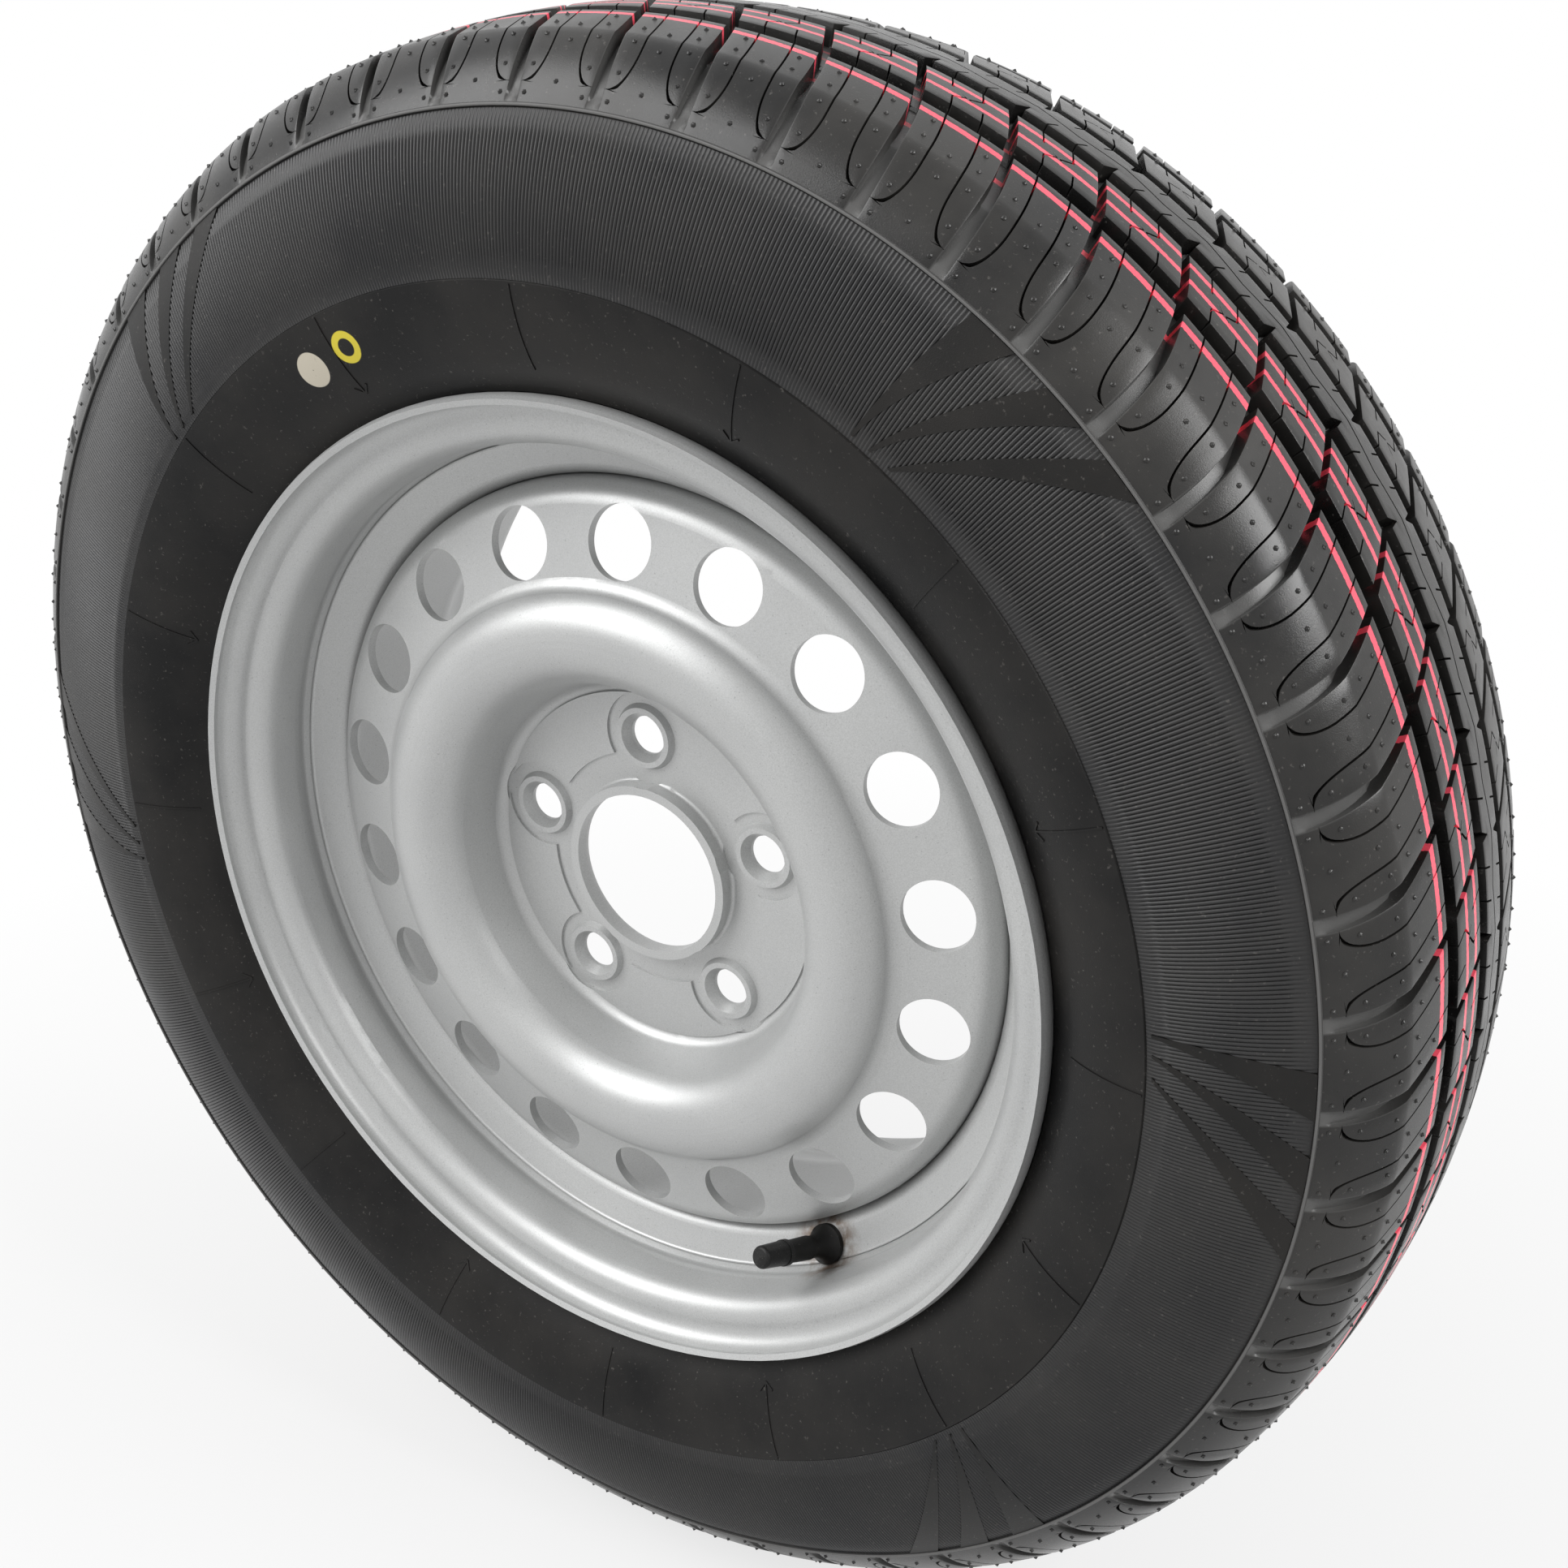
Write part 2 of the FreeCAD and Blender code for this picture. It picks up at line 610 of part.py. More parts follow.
def along_valve(shape):
    """A shape made about Z from the rim's air side, set on the rim at the valve hole."""
    tilt = math.radians(WELL_WALL_ANGLE)
    wall_mid = point((WALL_TOP_R + WELL_R) / 2, (WALL_TOP_Y + WALL_FOOT_Y) / 2)
    outward = Vector(-math.sin(tilt), -math.cos(tilt), 0)
    foot = wall_mid + outward * RIM_SHEET
    placed = shape.copy()
    turn = FreeCAD.Rotation(Vector(0, 0, 1), outward)
    placed.Placement = FreeCAD.Placement(foot, turn).multiply(placed.Placement)
    return clocked(placed, VALVE_CLOCK - 90)


def lathe(stops):
    """A solid turned about the valve's own axis. A stop is (radius, place), and a third value bows its run."""
    points = [Vector(stop[0], 0, stop[1]) for stop in stops]
    edges = []
    for index, stop in enumerate(stops):
        start, end = points[index - 1], points[index]
        if len(stop) == 2:
            edges.append(line(start, end))
            continue
        run = (end - start).normalize()
        edges.append(arc3(start, (start + end) * 0.5 + Vector(-run.z, 0, run.x) * stop[2], end))
    return Part.Face(Part.Wire(edges)).revolve(ORIGIN, Vector(0, 0, 1), 360)


def make_valve_body(rim):
    """Moulded rubber body: a plug inside the rim, a neck in its hole, a flared foot and a sleeve outside."""
    bore = STEM_R + VALVE_FIT
    plug_top = -RIM_SHEET - VALVE_FIT
    tail = plug_top - VALVE_PLUG_LENGTH
    neck = VALVE_HOLE_R - VALVE_FIT
    body = lathe([
        (bore, tail),
        (VALVE_PLUG_TIP_R, tail),
        (VALVE_PLUG_R, plug_top - VALVE_PLUG_LENGTH / 2),
        (VALVE_PLUG_R, plug_top),
        (neck, plug_top),
        (neck, VALVE_FIT),
        (VALVE_BULB_R, VALVE_FIT),
        (VALVE_BULB_R, VALVE_BULB_EDGE),
        (VALVE_NECK_R, VALVE_NECK_START, VALVE_NECK_HOLLOW),
        (VALVE_SLEEVE_TIP_R, VALVE_SLEEVE_END),
        (bore, VALVE_SLEEVE_END),
    ])
    return along_valve(body).cut(rim)


def make_valve_stem():
    """Turned brass tube in the rubber, with the cap's thread at its end and the core's seat inside."""
    tail = -RIM_SHEET - VALVE_PLUG_LENGTH
    shoulder = VALVE_SLEEVE_END + VALVE_FIT
    outline = [
        (STEM_PASSAGE_R, tail),
        (STEM_R, tail),
        (STEM_R, shoulder),
        (STEM_THREAD_R, shoulder),
        (STEM_THREAD_R, STEM_END - STEM_CHAMFER),
        (STEM_THREAD_R - STEM_CHAMFER, STEM_END),
        (STEM_CHAMBER_R, STEM_END),
        (STEM_CHAMBER_R, STEM_CHAMBER_START),
        (STEM_SEAT_R, STEM_SEAT_START),
        (STEM_LOWER_BORE_R, STEM_SEAT_START),
        (STEM_LOWER_BORE_R, STEM_LOWER_BORE_START),
        (STEM_PASSAGE_R, STEM_LOWER_BORE_START - STEM_PASSAGE_R),
    ]
    return along_valve(lathe(outline))


def make_core_plug():
    """Threaded plug that holds the core down, with two ears for the core key."""
    radius = STEM_CHAMBER_R - CORE_FIT
    tube = lathe([(PLUG_BORE_R, PLUG_START), (radius, PLUG_START), (radius, PLUG_END), (PLUG_BORE_R, PLUG_END)])
    slot = Part.makeBox(2 * radius, PLUG_SLOT_WIDTH, PLUG_SLOT_DEPTH)
    slot.translate(Vector(-radius, -PLUG_SLOT_WIDTH / 2, PLUG_END - PLUG_SLOT_DEPTH))
    return along_valve(tube.cut(slot))


def make_core_barrel():
    """Tube of the core, with a lip at its foot for the spring to push on."""
    lip_top = BARREL_START + BARREL_LIP
    top = PLUG_START - CORE_FIT
    outline = [
        (BARREL_LIP_BORE_R, BARREL_START),
        (BARREL_R, BARREL_START),
        (BARREL_R, top),
        (BARREL_BORE_R, top),
        (BARREL_BORE_R, lip_top),
        (BARREL_LIP_BORE_R, lip_top),
    ]
    return along_valve(lathe(outline))


def make_core_barrel_seal():
    """Tapered ring round the barrel that seals on the stem's seat."""
    foot = STEM_SEAT_START + CORE_FIT
    top = foot + SEAL_RING_LENGTH
    inner = BARREL_R + VALVE_FIT
    taper = (STEM_CHAMBER_R - STEM_SEAT_R) / (STEM_CHAMBER_START - STEM_SEAT_START)
    outer = STEM_SEAT_R - VALVE_FIT
    return along_valve(lathe([(inner, foot), (outer, foot), (outer + SEAL_RING_LENGTH * taper, top), (inner, top)]))


def make_core_pin():
    """Pin pressed by a gauge or an inflator, with the collar that the spring lifts."""
    collar_end = PIN_COLLAR_START + PIN_COLLAR_LENGTH
    outline = [
        (0, PIN_START),
        (PIN_R, PIN_START),
        (PIN_R, PIN_COLLAR_START),
        (PIN_COLLAR_R, PIN_COLLAR_START),
        (PIN_COLLAR_R, collar_end),
        (PIN_R, collar_end),
        (PIN_R, PIN_TIP),
        (0, PIN_TIP),
    ]
    return along_valve(lathe(outline))


CUP_TOP = BARREL_START - CORE_FIT - CUP_WALL
CUP_FOOT = CUP_TOP - CUP_LENGTH


def make_core_cup():
    """Cup crimped to the pin, which carries the seal that closes the barrel's foot."""
    inner = PIN_R + VALVE_FIT
    floor = CUP_FOOT + CUP_WALL
    outline = [
        (inner, CUP_FOOT),
        (CUP_R, CUP_FOOT),
        (CUP_R, CUP_TOP),
        (CUP_R - CUP_WALL, CUP_TOP),
        (CUP_R - CUP_WALL, floor),
        (inner, floor),
    ]
    return along_valve(lathe(outline))


def make_core_cup_seal():
    """Rubber ring in the cup, pulled up against the barrel's foot."""
    inner = PIN_R + VALVE_FIT
    outer = CUP_R - CUP_WALL - VALVE_FIT
    foot = CUP_FOOT + CUP_WALL + VALVE_FIT
    top = BARREL_START - VALVE_FIT
    return along_valve(lathe([(inner, foot), (outer, foot), (outer, top), (inner, top)]))


def make_core_spring():
    """Open-coiled spring between the barrel's lip and the pin's collar."""
    foot = BARREL_START + BARREL_LIP + SPRING_WIRE_R + VALVE_FIT
    length = PIN_COLLAR_START - VALVE_FIT - SPRING_WIRE_R - foot
    helix = Part.makeHelix(length / SPRING_TURNS, length, SPRING_R)
    wire = Part.Wire(Part.makeCircle(SPRING_WIRE_R, Vector(SPRING_R, 0, 0), Vector(0, 1, 0)))
    coil = Part.Wire(helix).makePipeShell([wire], True, True)
    coil.translate(Vector(0, 0, foot))
    return along_valve(coil)


CAP_ROOF = STEM_END + CAP_SEAL_GAP + CAP_SEAL_THICKNESS + CAP_SEAL_GAP


def make_valve_cap():
    """Moulded screw cap: a collar at its mouth, a slight taper, a rounded end and a bore over the thread."""
    end = CAP_START + CAP_LENGTH
    bore = STEM_THREAD_R + CAP_BORE_CLEARANCE
    collar_end = CAP_START + CAP_COLLAR_LENGTH
    dome_swell = CAP_DOME_R * (1 - math.sqrt(0.5))
    return along_valve(lathe([
        (bore, CAP_START),
        (CAP_COLLAR_R, CAP_START),
        (CAP_COLLAR_R, collar_end),
        (CAP_R, collar_end),
        (CAP_END_R, end - CAP_DOME_R - CAP_DOME_RISE),
        (CAP_END_R - CAP_DOME_R, end - CAP_DOME_RISE, -dome_swell),
        (0, end),
        (0, CAP_ROOF),
        (bore, CAP_ROOF),
    ]))


def make_cap_seal():
    """Rubber disc in the cap's roof that closes the stem's end."""
    foot = STEM_END + CAP_SEAL_GAP
    radius = STEM_THREAD_R + CAP_BORE_CLEARANCE - CAP_SEAL_GAP
    return along_valve(lathe([(0, foot), (radius, foot), (radius, foot + CAP_SEAL_THICKNESS),
                              (0, foot + CAP_SEAL_THICKNESS)]))


def main():
    """Builds every piece and writes one file for each."""
    rim = make_rim()
    pieces = {
        "tyre": make_tyre(),
        "wheel_rim": rim,
        "wheel_disc": make_disc(),
        "disc_welds": make_welds(),
        "valve_body": make_valve_body(rim),
        "valve_stem": make_valve_stem(),
        "core_plug": make_core_plug(),
        "core_barrel": make_core_barrel(),
        "core_barrel_seal": make_core_barrel_seal(),
        "core_pin": make_core_pin(),
        "core_cup": make_core_cup(),
        "core_cup_seal": make_core_cup_seal(),
        "core_spring": make_core_spring(),
        "valve_cap": make_valve_cap(),
        "cap_seal": make_cap_seal(),
    }
    os.makedirs("parts", exist_ok=True)
    for name, shape in pieces.items():
        shape.exportStep("parts/" + name + ".step")
        print(name, shape.ShapeType, len(shape.Solids), shape.isValid(), round(shape.Volume, 1))


main()
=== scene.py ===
import math

import bpy
import numpy as np
from mathutils import Matrix


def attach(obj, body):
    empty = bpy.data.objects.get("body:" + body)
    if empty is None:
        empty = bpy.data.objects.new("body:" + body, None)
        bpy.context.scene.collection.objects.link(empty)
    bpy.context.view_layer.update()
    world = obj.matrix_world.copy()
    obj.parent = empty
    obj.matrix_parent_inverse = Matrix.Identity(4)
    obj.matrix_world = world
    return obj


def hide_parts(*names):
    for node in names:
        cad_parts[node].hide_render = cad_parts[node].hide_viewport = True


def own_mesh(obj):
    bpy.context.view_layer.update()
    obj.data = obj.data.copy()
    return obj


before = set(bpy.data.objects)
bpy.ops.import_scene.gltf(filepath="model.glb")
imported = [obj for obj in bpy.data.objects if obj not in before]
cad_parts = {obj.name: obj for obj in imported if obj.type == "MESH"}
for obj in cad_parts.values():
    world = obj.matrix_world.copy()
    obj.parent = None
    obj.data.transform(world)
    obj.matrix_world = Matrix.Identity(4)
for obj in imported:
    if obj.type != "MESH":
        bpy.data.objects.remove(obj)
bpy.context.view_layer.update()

# Steel disc wheel with a radial tyre and a snap-in valve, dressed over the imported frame.
# Shapes are worked out in millimetres and stored in metres. The axle line is Y, the outer face looks
# along -Y, and a clock angle runs clockwise from the top as seen from the outer side.
# A section point is a radius and a half width, and reach is the distance from the middle plane.

MM = 0.001

# Tyre section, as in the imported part
TYRE_R = 314.3
CROWN_R = 277.0
TREAD_EDGE_Y = 62.0
CROWN_BLEND_Y = 51.4
SHOULDER_R = 286.5
WIDEST_R = 235.5
WIDEST_Y = 92.5
GROOVES = ((-37.4, -29.4), (-9.2, -0.8), (17.1, 23.3), (43.5, 50.5))
GROOVE_DEPTH = 7.5
GROOVE_DRAFT = 0.8

# Casing, beads and lining
SHOULDER_RING_R = (SHOULDER_R, 286.4, 286.1, 285.7, 285.4, 285.3)
SHOULDER_RING_LIFT = (0.0, 0.4, 0.6, 0.6, 0.4, -0.2)
BAND_ROWS = np.append(np.linspace(285.0, 234.0, 14), 233.7)
BAND_SUNK = 0.9
LOWER_WALL_ROWS = np.append(233.2, np.linspace(231.5, 199.25, 13))
BEAD_CURL = ((194.67, 76.81), (191.17, 71.58), (185.2, 69.55))
BEAD_HEEL = ((183.38, 69.55), (179.19, 67.92), (177.2, 63.89))
BEAD_TOE_R = 176.39
BEAD_TOE_Y = 54.85
WALL_THICKNESS = 7.7
LINING_Y = WIDEST_Y - WALL_THICKNESS
LINING_R = 299.8
LINING_CROWN_R = 290.0
LINING_CROWN_Y = np.array([40.0, 20.0])
LINING_START = (191.7, BEAD_TOE_Y + 4.0)
LINING_LOW_MID = (212.1, 78.4)
LINING_CORNER_MID = (289.6, 70.6)
LINING_CORNER_END = (293.9, 58.0)
CASING_TOP_Y = np.array([-72.0, -55.0, -30.0, 0.0, 30.0, 55.0, 72.0])
CASING_TOP_SUNK = np.array([5.0, 10.0, 10.5, 11.0, 10.5, 10.0, 5.0])
CASING_TURNS = 480

# Tread pattern: leaning slots, notches in the middle rib and channels on the shoulders, whose
# floors are paler with painted light
PITCHES = 56
PITCH_DEG = 360.0 / PITCHES
TREAD_COLUMNS = 20
SWEEP_DEG = 0.00952
SWEEP_POWER = 1.491
INNER_PHASE_DEG = 1.5 * PITCH_DEG
OUTER_SLOT_END_Y = -5.0
INNER_SLOT_END_Y = 20.2
EDGE_ROUND = 0.5
EDGE_DROP = 0.15
SLOT_WALL_RUN = 0.35
NOTCH_WIDTH_Y = (-0.8, 4.2, 12.4, 17.1)
NOTCH_WIDTHS = (1, 0.12, 0.12, 1)
NOTCH_DEPTH_Y = (-0.8, 4.1, 4.2, 12.4, 12.5, 17.1)
NOTCH_DEPTHS = (1, 0.7, 0, 0, 0.7, 1)
# Painted light on the channel floors: its share by reach, and its weight across a pitch's columns
CHANNEL_REACH = (42.0, 60.0, 70.0, 81.0)
CHANNEL_SHARE = (0.0, 0.35, 0.8, 1.0)
CHANNEL_COLUMNS = np.array([1.0, 1.0, 0.5] + [0.0] * (TREAD_COLUMNS - 5) + [0.5, 1.0])
UNDER_ROWS = 6
UNDER_DEPTHS = (12.0, 4.5)

# Sipes: thin cuts that bend into the slots on the shoulders and step sideways on the ribs
SIPE_WIDTH = 0.75
SIPE_DEPTH = 3.6
SIPE_LIP = 1.6
SIPE_LEAN_LIMIT = 2.6
SIPE_SHARE = 0.315
SIPE_BEND_Y = 66.0
SIPE_END_Y = 77.7
SIPE_BEND_POWER = 2.6
SIPE_FADE_REACH = (62.0, 72.0, SIPE_END_Y)
SIPE_FADE = (1, 0.6, 0.45)
PAST_SIPE_REACH = (77.75, 81.2)
PAST_SIPE_SHARE = (0.2, 1 / 3)
STEP_Y = (-29.4, -23.4, -19.7, -18.2, -16.2, -9.0, -0.8, 17.1, 23.3, 30.1, 33.4, 35.0, 36.8, 43.5)
STEP_FIRST = (
    1 / 3, 1 / 3, 0.488, 0.42, 1 / 3, 1 / 3, 0.3, 0.36, 1 / 3, 1 / 3, 0.488, 0.42, 1 / 3, 1 / 3,
)
STEP_SECOND = (
    2 / 3, 2 / 3, 0.512, 0.58, 2 / 3, 2 / 3, 0.63, 0.7, 2 / 3, 2 / 3, 0.512, 0.58, 2 / 3, 2 / 3,
)
FIRST_CUT_Y = (-29.4, -19.8, -19.3, -16.3, -16.0, 4.2, 4.3, 12.3, 12.4, 33.3, 33.5, 36.7, 36.9, 43.5)
SECOND_CUT_Y = (-29.4, -24.0, -23.8, -19.95, -19.8, 4.2, 4.3, 12.3, 12.4, 30.0, 30.2, 33.1, 33.3, 43.5)
CUT_SHARE = (1, 1, 0, 0, 1, 1, 0, 0, 1, 1, 0, 0, 1, 1)
MID_CUT_ROW = 8.0
MID_CUT_DEPTH = 2.6
MID_CUT_WAVE = 1.3
MID_CUT_WAVE_Y = (4.3, 7.6, 8.4, 12.3)
MID_CUT_WAVE_SHARE = (0, 1, 1, 0)

# Rows of the tread's grid, by reach on the shoulders and by place along the axle on the ribs
SHOULDER_ROWS = (
    81.17, 80.4, 79.3, 78.5, 77.95, 77.69, 77.6, 77.45, 77.2, 76.8, 76.2, 75.4,
    74.4, 73.2, 71.8, 70.2, 68.4, 66.0, 63.7, 61.5, 60.0, 57.5, 54.5,
)
OUTER_BLOCK_ROWS = (51.5, 48.5, 45.5, 42.5, 40.0)
OUTER_RIB_ROWS = (-26.5, -24.1, -23.7, -23.0, -21.5, -19.9, -19.4, -18.2, -16.4, -16.1, -13.0)
MIDDLE_RIB_ROWS = (1.2, 3.0, 4.1, 4.3, 6.0, 7.6, MID_CUT_ROW, 8.4, 10.4, 12.3, 12.5, 13.6, 15.4)
INNER_RIB_ROWS = (26.5, 29.9, 30.3, 31.5, 33.2, 33.6, 35.0, 36.6, 37.0, 40.0)

# Ribbed band of the sidewall, and its fans of leaves: tip, low edge, high edge in degrees, and power
RIB_COUNT = 1152
RIB_ROWS = 14
RIB_HEIGHT = 0.6
RIB_SHAPE = (0.0, 0.7, 1.0, 0.7)
RIB_CREASE_DEG = 80.0
RIB_TOP_R = 285.15
RIB_MID_R = 259.0
RIB_FOOT_R = 233.65
RIB_UNDER = 1.4
FAN_CLOCKS = (33.4, 84.9, 133.9, 263.9, 314.4)
FAN_LEAVES = ((0.0, 1.9, 5.3, 1.4), (1.6, 8.0, 11.0, 1.2), (3.3, 13.4, 16.4, 1.0))
LEAF_ROWS = 15
LEAF_START = 0.04
LEAF_TIP_DEG = 0.2
LEAF_LIFT = np.array([[-0.7, 0.05, 0.05, 0.05, 0.05, -0.7]])
LEAF_ACROSS = np.array([[0.0, 0.0, 1 / 3, 2 / 3, 1.0, 1.0]])

# Lines and marks of the sidewall, with the painted spots as clock and radius
MARK_COUNT = 16
MARK_START_DEG = 0.5
MARK_FOOT_R = 203.5
MARK_TOP_R = 232.6
MARK_WIDTH = 0.7
MARK_HEIGHT = 0.35
MARK_ROOT = -0.4
MARK_ROWS = 7
TICK_DEG = 0.9
TICK_R = 206.5
YELLOW_SPOT = (339.7, 219.6)
STAMP_SPOT = (334.4, 217.9)

# Vent stubs: size and height of their rings, and their places as share of a pitch and reach
STUB_SIDES = 6
STUB_SIZES = np.array([0.95, 0.85, 0.5, 0.18])
STUB_LIFTS = np.array([-0.3, 0.18, 0.42, 0.75])
STUB_SPOTS = np.array([
    (0.17, 74.0), (0.83, 74.0), (0.2, 64.5), (0.5, 66.5), (0.8, 64.5), (0.2, 55.5), (0.5, 57.5),
    (0.8, 55.5), (0.15, 79.7), (0.85, 79.7), (0.5, 77.5), (0.22, 45.5), (0.8, 46.5),
])

# Valve, and the spring of its core from foot to top along it
VALVE_FOOT = np.array([82.039, -42.582, -145.004])
VALVE_AXIS = np.array([-0.1963534, -0.9170601, 0.3470535])
SPRING_FOOT = 17.72
SPRING_TOP = 24.98
SPRING_R = 1.0
SPRING_TURNS = 6
SPRING_STEPS = 24
WIRE_R = 0.14
WIRE_SIDES = 8


# Mesh tools


def on_wheel(radius, y, clock_deg):
    """Points from radius, place along the axle and clock angle: x = r sin c, z = r cos c."""
    clock = np.radians(clock_deg)
    radius, y, clock = np.broadcast_arrays(radius, y, clock)
    return np.stack([radius * np.sin(clock), y, radius * np.cos(clock)], axis=-1)


def wrapped_quads(rows, cols):
    """Faces of a grid that closes on itself both along its rows and along its columns."""
    row, col = np.meshgrid(np.arange(rows), np.arange(cols), indexing="ij")
    row_next = (row + 1) % rows
    col_next = (col + 1) % cols
    row = row * cols
    row_next = row_next * cols
    corners = [row + col, row + col_next, row_next + col_next, row_next + col]
    return np.stack(corners, axis=-1).reshape(-1, 4)


def tube_quads(rows, cols):
    """Faces of a grid that closes on itself along its columns and is open at its first and last row."""
    row, col = np.meshgrid(np.arange(rows - 1) * cols, np.arange(cols), indexing="ij")
    col_next = (col + 1) % cols
    corners = [row + col, row + col_next, row + cols + col_next, row + cols + col]
    return np.stack(corners, axis=-1).reshape(-1, 4)


def many(points, quads, count):
    """Faces for a number of copies of one small mesh whose points follow each other."""
    shift = np.arange(count)[:, None, None] * points
    return (quads[None] + shift).reshape(-1, 4)


def signed_volume(points, quads):
    """Volume inside the faces: the sum of the tetrahedra that each half quad makes with the origin."""
    a, b, c, d = (points[quads[:, i]] for i in range(4))
    halves = np.einsum("ij,ij->i", a, np.cross(b, c)) + np.einsum("ij,ij->i", a, np.cross(c, d))
    return halves.sum() / 6


def put_piece(name, points, quads, body, slot, material, crease_deg=38.0, channel=None):
    """A mesh object in the shared frame, faces outwards, smooth but for edges sharper than the crease
    angle. The channel values, one for each point, go into an attribute of that name."""
    points = points.reshape(-1, 3)
    if signed_volume(points, quads) < 0:
        quads = quads[:, ::-1]
    mesh = bpy.data.meshes.new(name)
    mesh.from_pydata((points * MM).tolist(), [], quads.tolist())
    mesh.polygons.foreach_set("use_smooth", np.ones(len(quads), dtype=bool))
    mesh.set_sharp_from_angle(angle=math.radians(crease_deg))
    mesh.materials.append(material)
    if channel is not None:
        mesh.attributes.new("channel", "FLOAT", "POINT").data.foreach_set("value", channel.ravel())
    piece = bpy.data.objects.new(name, mesh)
    bpy.context.scene.collection.objects.link(piece)
    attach(piece, body)
    return piece


# Tyre section


def circle_through(a, b, c):
    """Centre and radius of the circle through three section points, from the two right bisectors."""
    a, b, c = (np.asarray(p, float) for p in (a, b, c))
    sides = 2 * np.array([b - a, c - a])
    centre = np.linalg.solve(sides, np.array([b @ b - a @ a, c @ c - a @ a]))
    return centre, np.linalg.norm(a - centre)


def arc_points(a, b, c, count):
    """Points along the arc from a through b to c."""
    centre, radius = circle_through(a, b, c)
    angles = [math.atan2(*(np.asarray(p, float) - centre)[::-1]) for p in (a, b, c)]
    turn = np.interp(np.linspace(0, 1, count), [0, 0.5, 1], np.unwrap(angles))
    return centre + radius * np.stack([np.cos(turn), np.sin(turn)], axis=-1)


def crown_radius(y):
    """Radius of the tread surface: a circle of the crown's radius across the tyre."""
    return TYRE_R - CROWN_R + np.sqrt(CROWN_R ** 2 - np.square(y))


BLEND_R = float(crown_radius(CROWN_BLEND_Y))


def wall_half_width(radius):
    """Half width of the upper sidewall: a quarter ellipse from the widest place to the crown."""
    share = (radius - WIDEST_R) / (BLEND_R - WIDEST_R)
    return CROWN_BLEND_Y + (WIDEST_Y - CROWN_BLEND_Y) * np.sqrt(1 - share ** 2)


def wall_radius(half_width):
    """Radius of the same quarter ellipse at a half width."""
    share = (half_width - CROWN_BLEND_Y) / (WIDEST_Y - CROWN_BLEND_Y)
    return WIDEST_R + (BLEND_R - WIDEST_R) * np.sqrt(1 - share ** 2)


# Arcs of the section, each through three points
SHOULDER_Y = float(wall_half_width(SHOULDER_R))
SHOULDER_MID_Y = (SHOULDER_Y + TREAD_EDGE_Y) / 2
SHOULDER_ARC = (
    (SHOULDER_R, SHOULDER_Y),
    (float(wall_radius(SHOULDER_MID_Y)), SHOULDER_MID_Y),
    (float(crown_radius(TREAD_EDGE_Y)), TREAD_EDGE_Y),
)
UPPER_MID_R = (WIDEST_R + SHOULDER_R) / 2
UPPER_ARC = (
    (SHOULDER_R, SHOULDER_Y),
    (UPPER_MID_R, float(wall_half_width(UPPER_MID_R))),
    (WIDEST_R, WIDEST_Y),
)
LOWER_ARC = ((WIDEST_R, WIDEST_Y), (216.42, 88.50), (199.17, 79.41))

# Half width and depth of the slots by reach
SLOT_WIDTH_REACH = (37.4, TREAD_EDGE_Y, SHOULDER_Y)
SLOT_HALF_WIDTHS = (1.8, 2.15, 2.5)
SLOT_DEPTH_REACH = (37.4, 50.0, 62.0, 71.6, 79.0, SHOULDER_Y)
SLOT_DEPTHS = (6.5, 6.2, 4.6, 2.8, 1.4, 0.0)


def tread_base(y):
    """Section of the plain tread at places y, with its normals: the crown's circle, then the shoulder's
    arc."""
    reach = np.abs(y)
    centre, radius = circle_through(*SHOULDER_ARC)
    on_crown = reach <= TREAD_EDGE_Y
    centre_r = np.where(on_crown, TYRE_R - CROWN_R, centre[0])
    centre_y = np.where(on_crown, 0.0, centre[1])
    arc_r = np.where(on_crown, CROWN_R, radius)
    normal_y = (reach - centre_y) / arc_r
    normal_r = np.sqrt(1 - normal_y ** 2)
    normal_y = normal_y * np.where(y < 0, -1, 1)
    return centre_r + arc_r * normal_r, normal_r, normal_y


def wall_surface(radius):
    """Half width and normals of a sidewall at radii between the shoulder ring and the rim's lip."""
    upper, upper_r = circle_through(*UPPER_ARC)
    lower, lower_r = circle_through(*LOWER_ARC)
    above = radius >= WIDEST_R
    centre_r = np.where(above, upper[0], lower[0])
    centre_y = np.where(above, upper[1], lower[1])
    arc_r = np.where(above, upper_r, lower_r)
    normal_r = (radius - centre_r) / arc_r
    normal_y = np.sqrt(1 - normal_r ** 2)
    return centre_y + arc_r * normal_y, normal_r, normal_y


def on_wall(clock, radius, side, lift):
    """Points that stand off a sidewall's plain surface."""
    half_width, normal_r, normal_y = wall_surface(radius)
    return on_wheel(radius + lift * normal_r, side * (half_width + lift * normal_y), clock)


# Tread


def sweep(y):
    """Degrees that the cross slots lean back: a power of the distance from the shoulder, and a straight
    run between the two sides."""

    def from_outer(place):
        return -SWEEP_DEG * np.clip(SHOULDER_Y + place, 0, None) ** SWEEP_POWER

    def from_inner(place):
        return SWEEP_DEG * np.clip(SHOULDER_Y - place, 0, None) ** SWEEP_POWER - INNER_PHASE_DEG

    ends = [from_outer(OUTER_SLOT_END_Y), from_inner(INNER_SLOT_END_Y)]
    middle = np.interp(y, [OUTER_SLOT_END_Y, INNER_SLOT_END_Y], ends)
    swept = np.where(y > INNER_SLOT_END_Y, from_inner(y), middle)
    return np.where(y < OUTER_SLOT_END_Y, from_outer(y), swept)


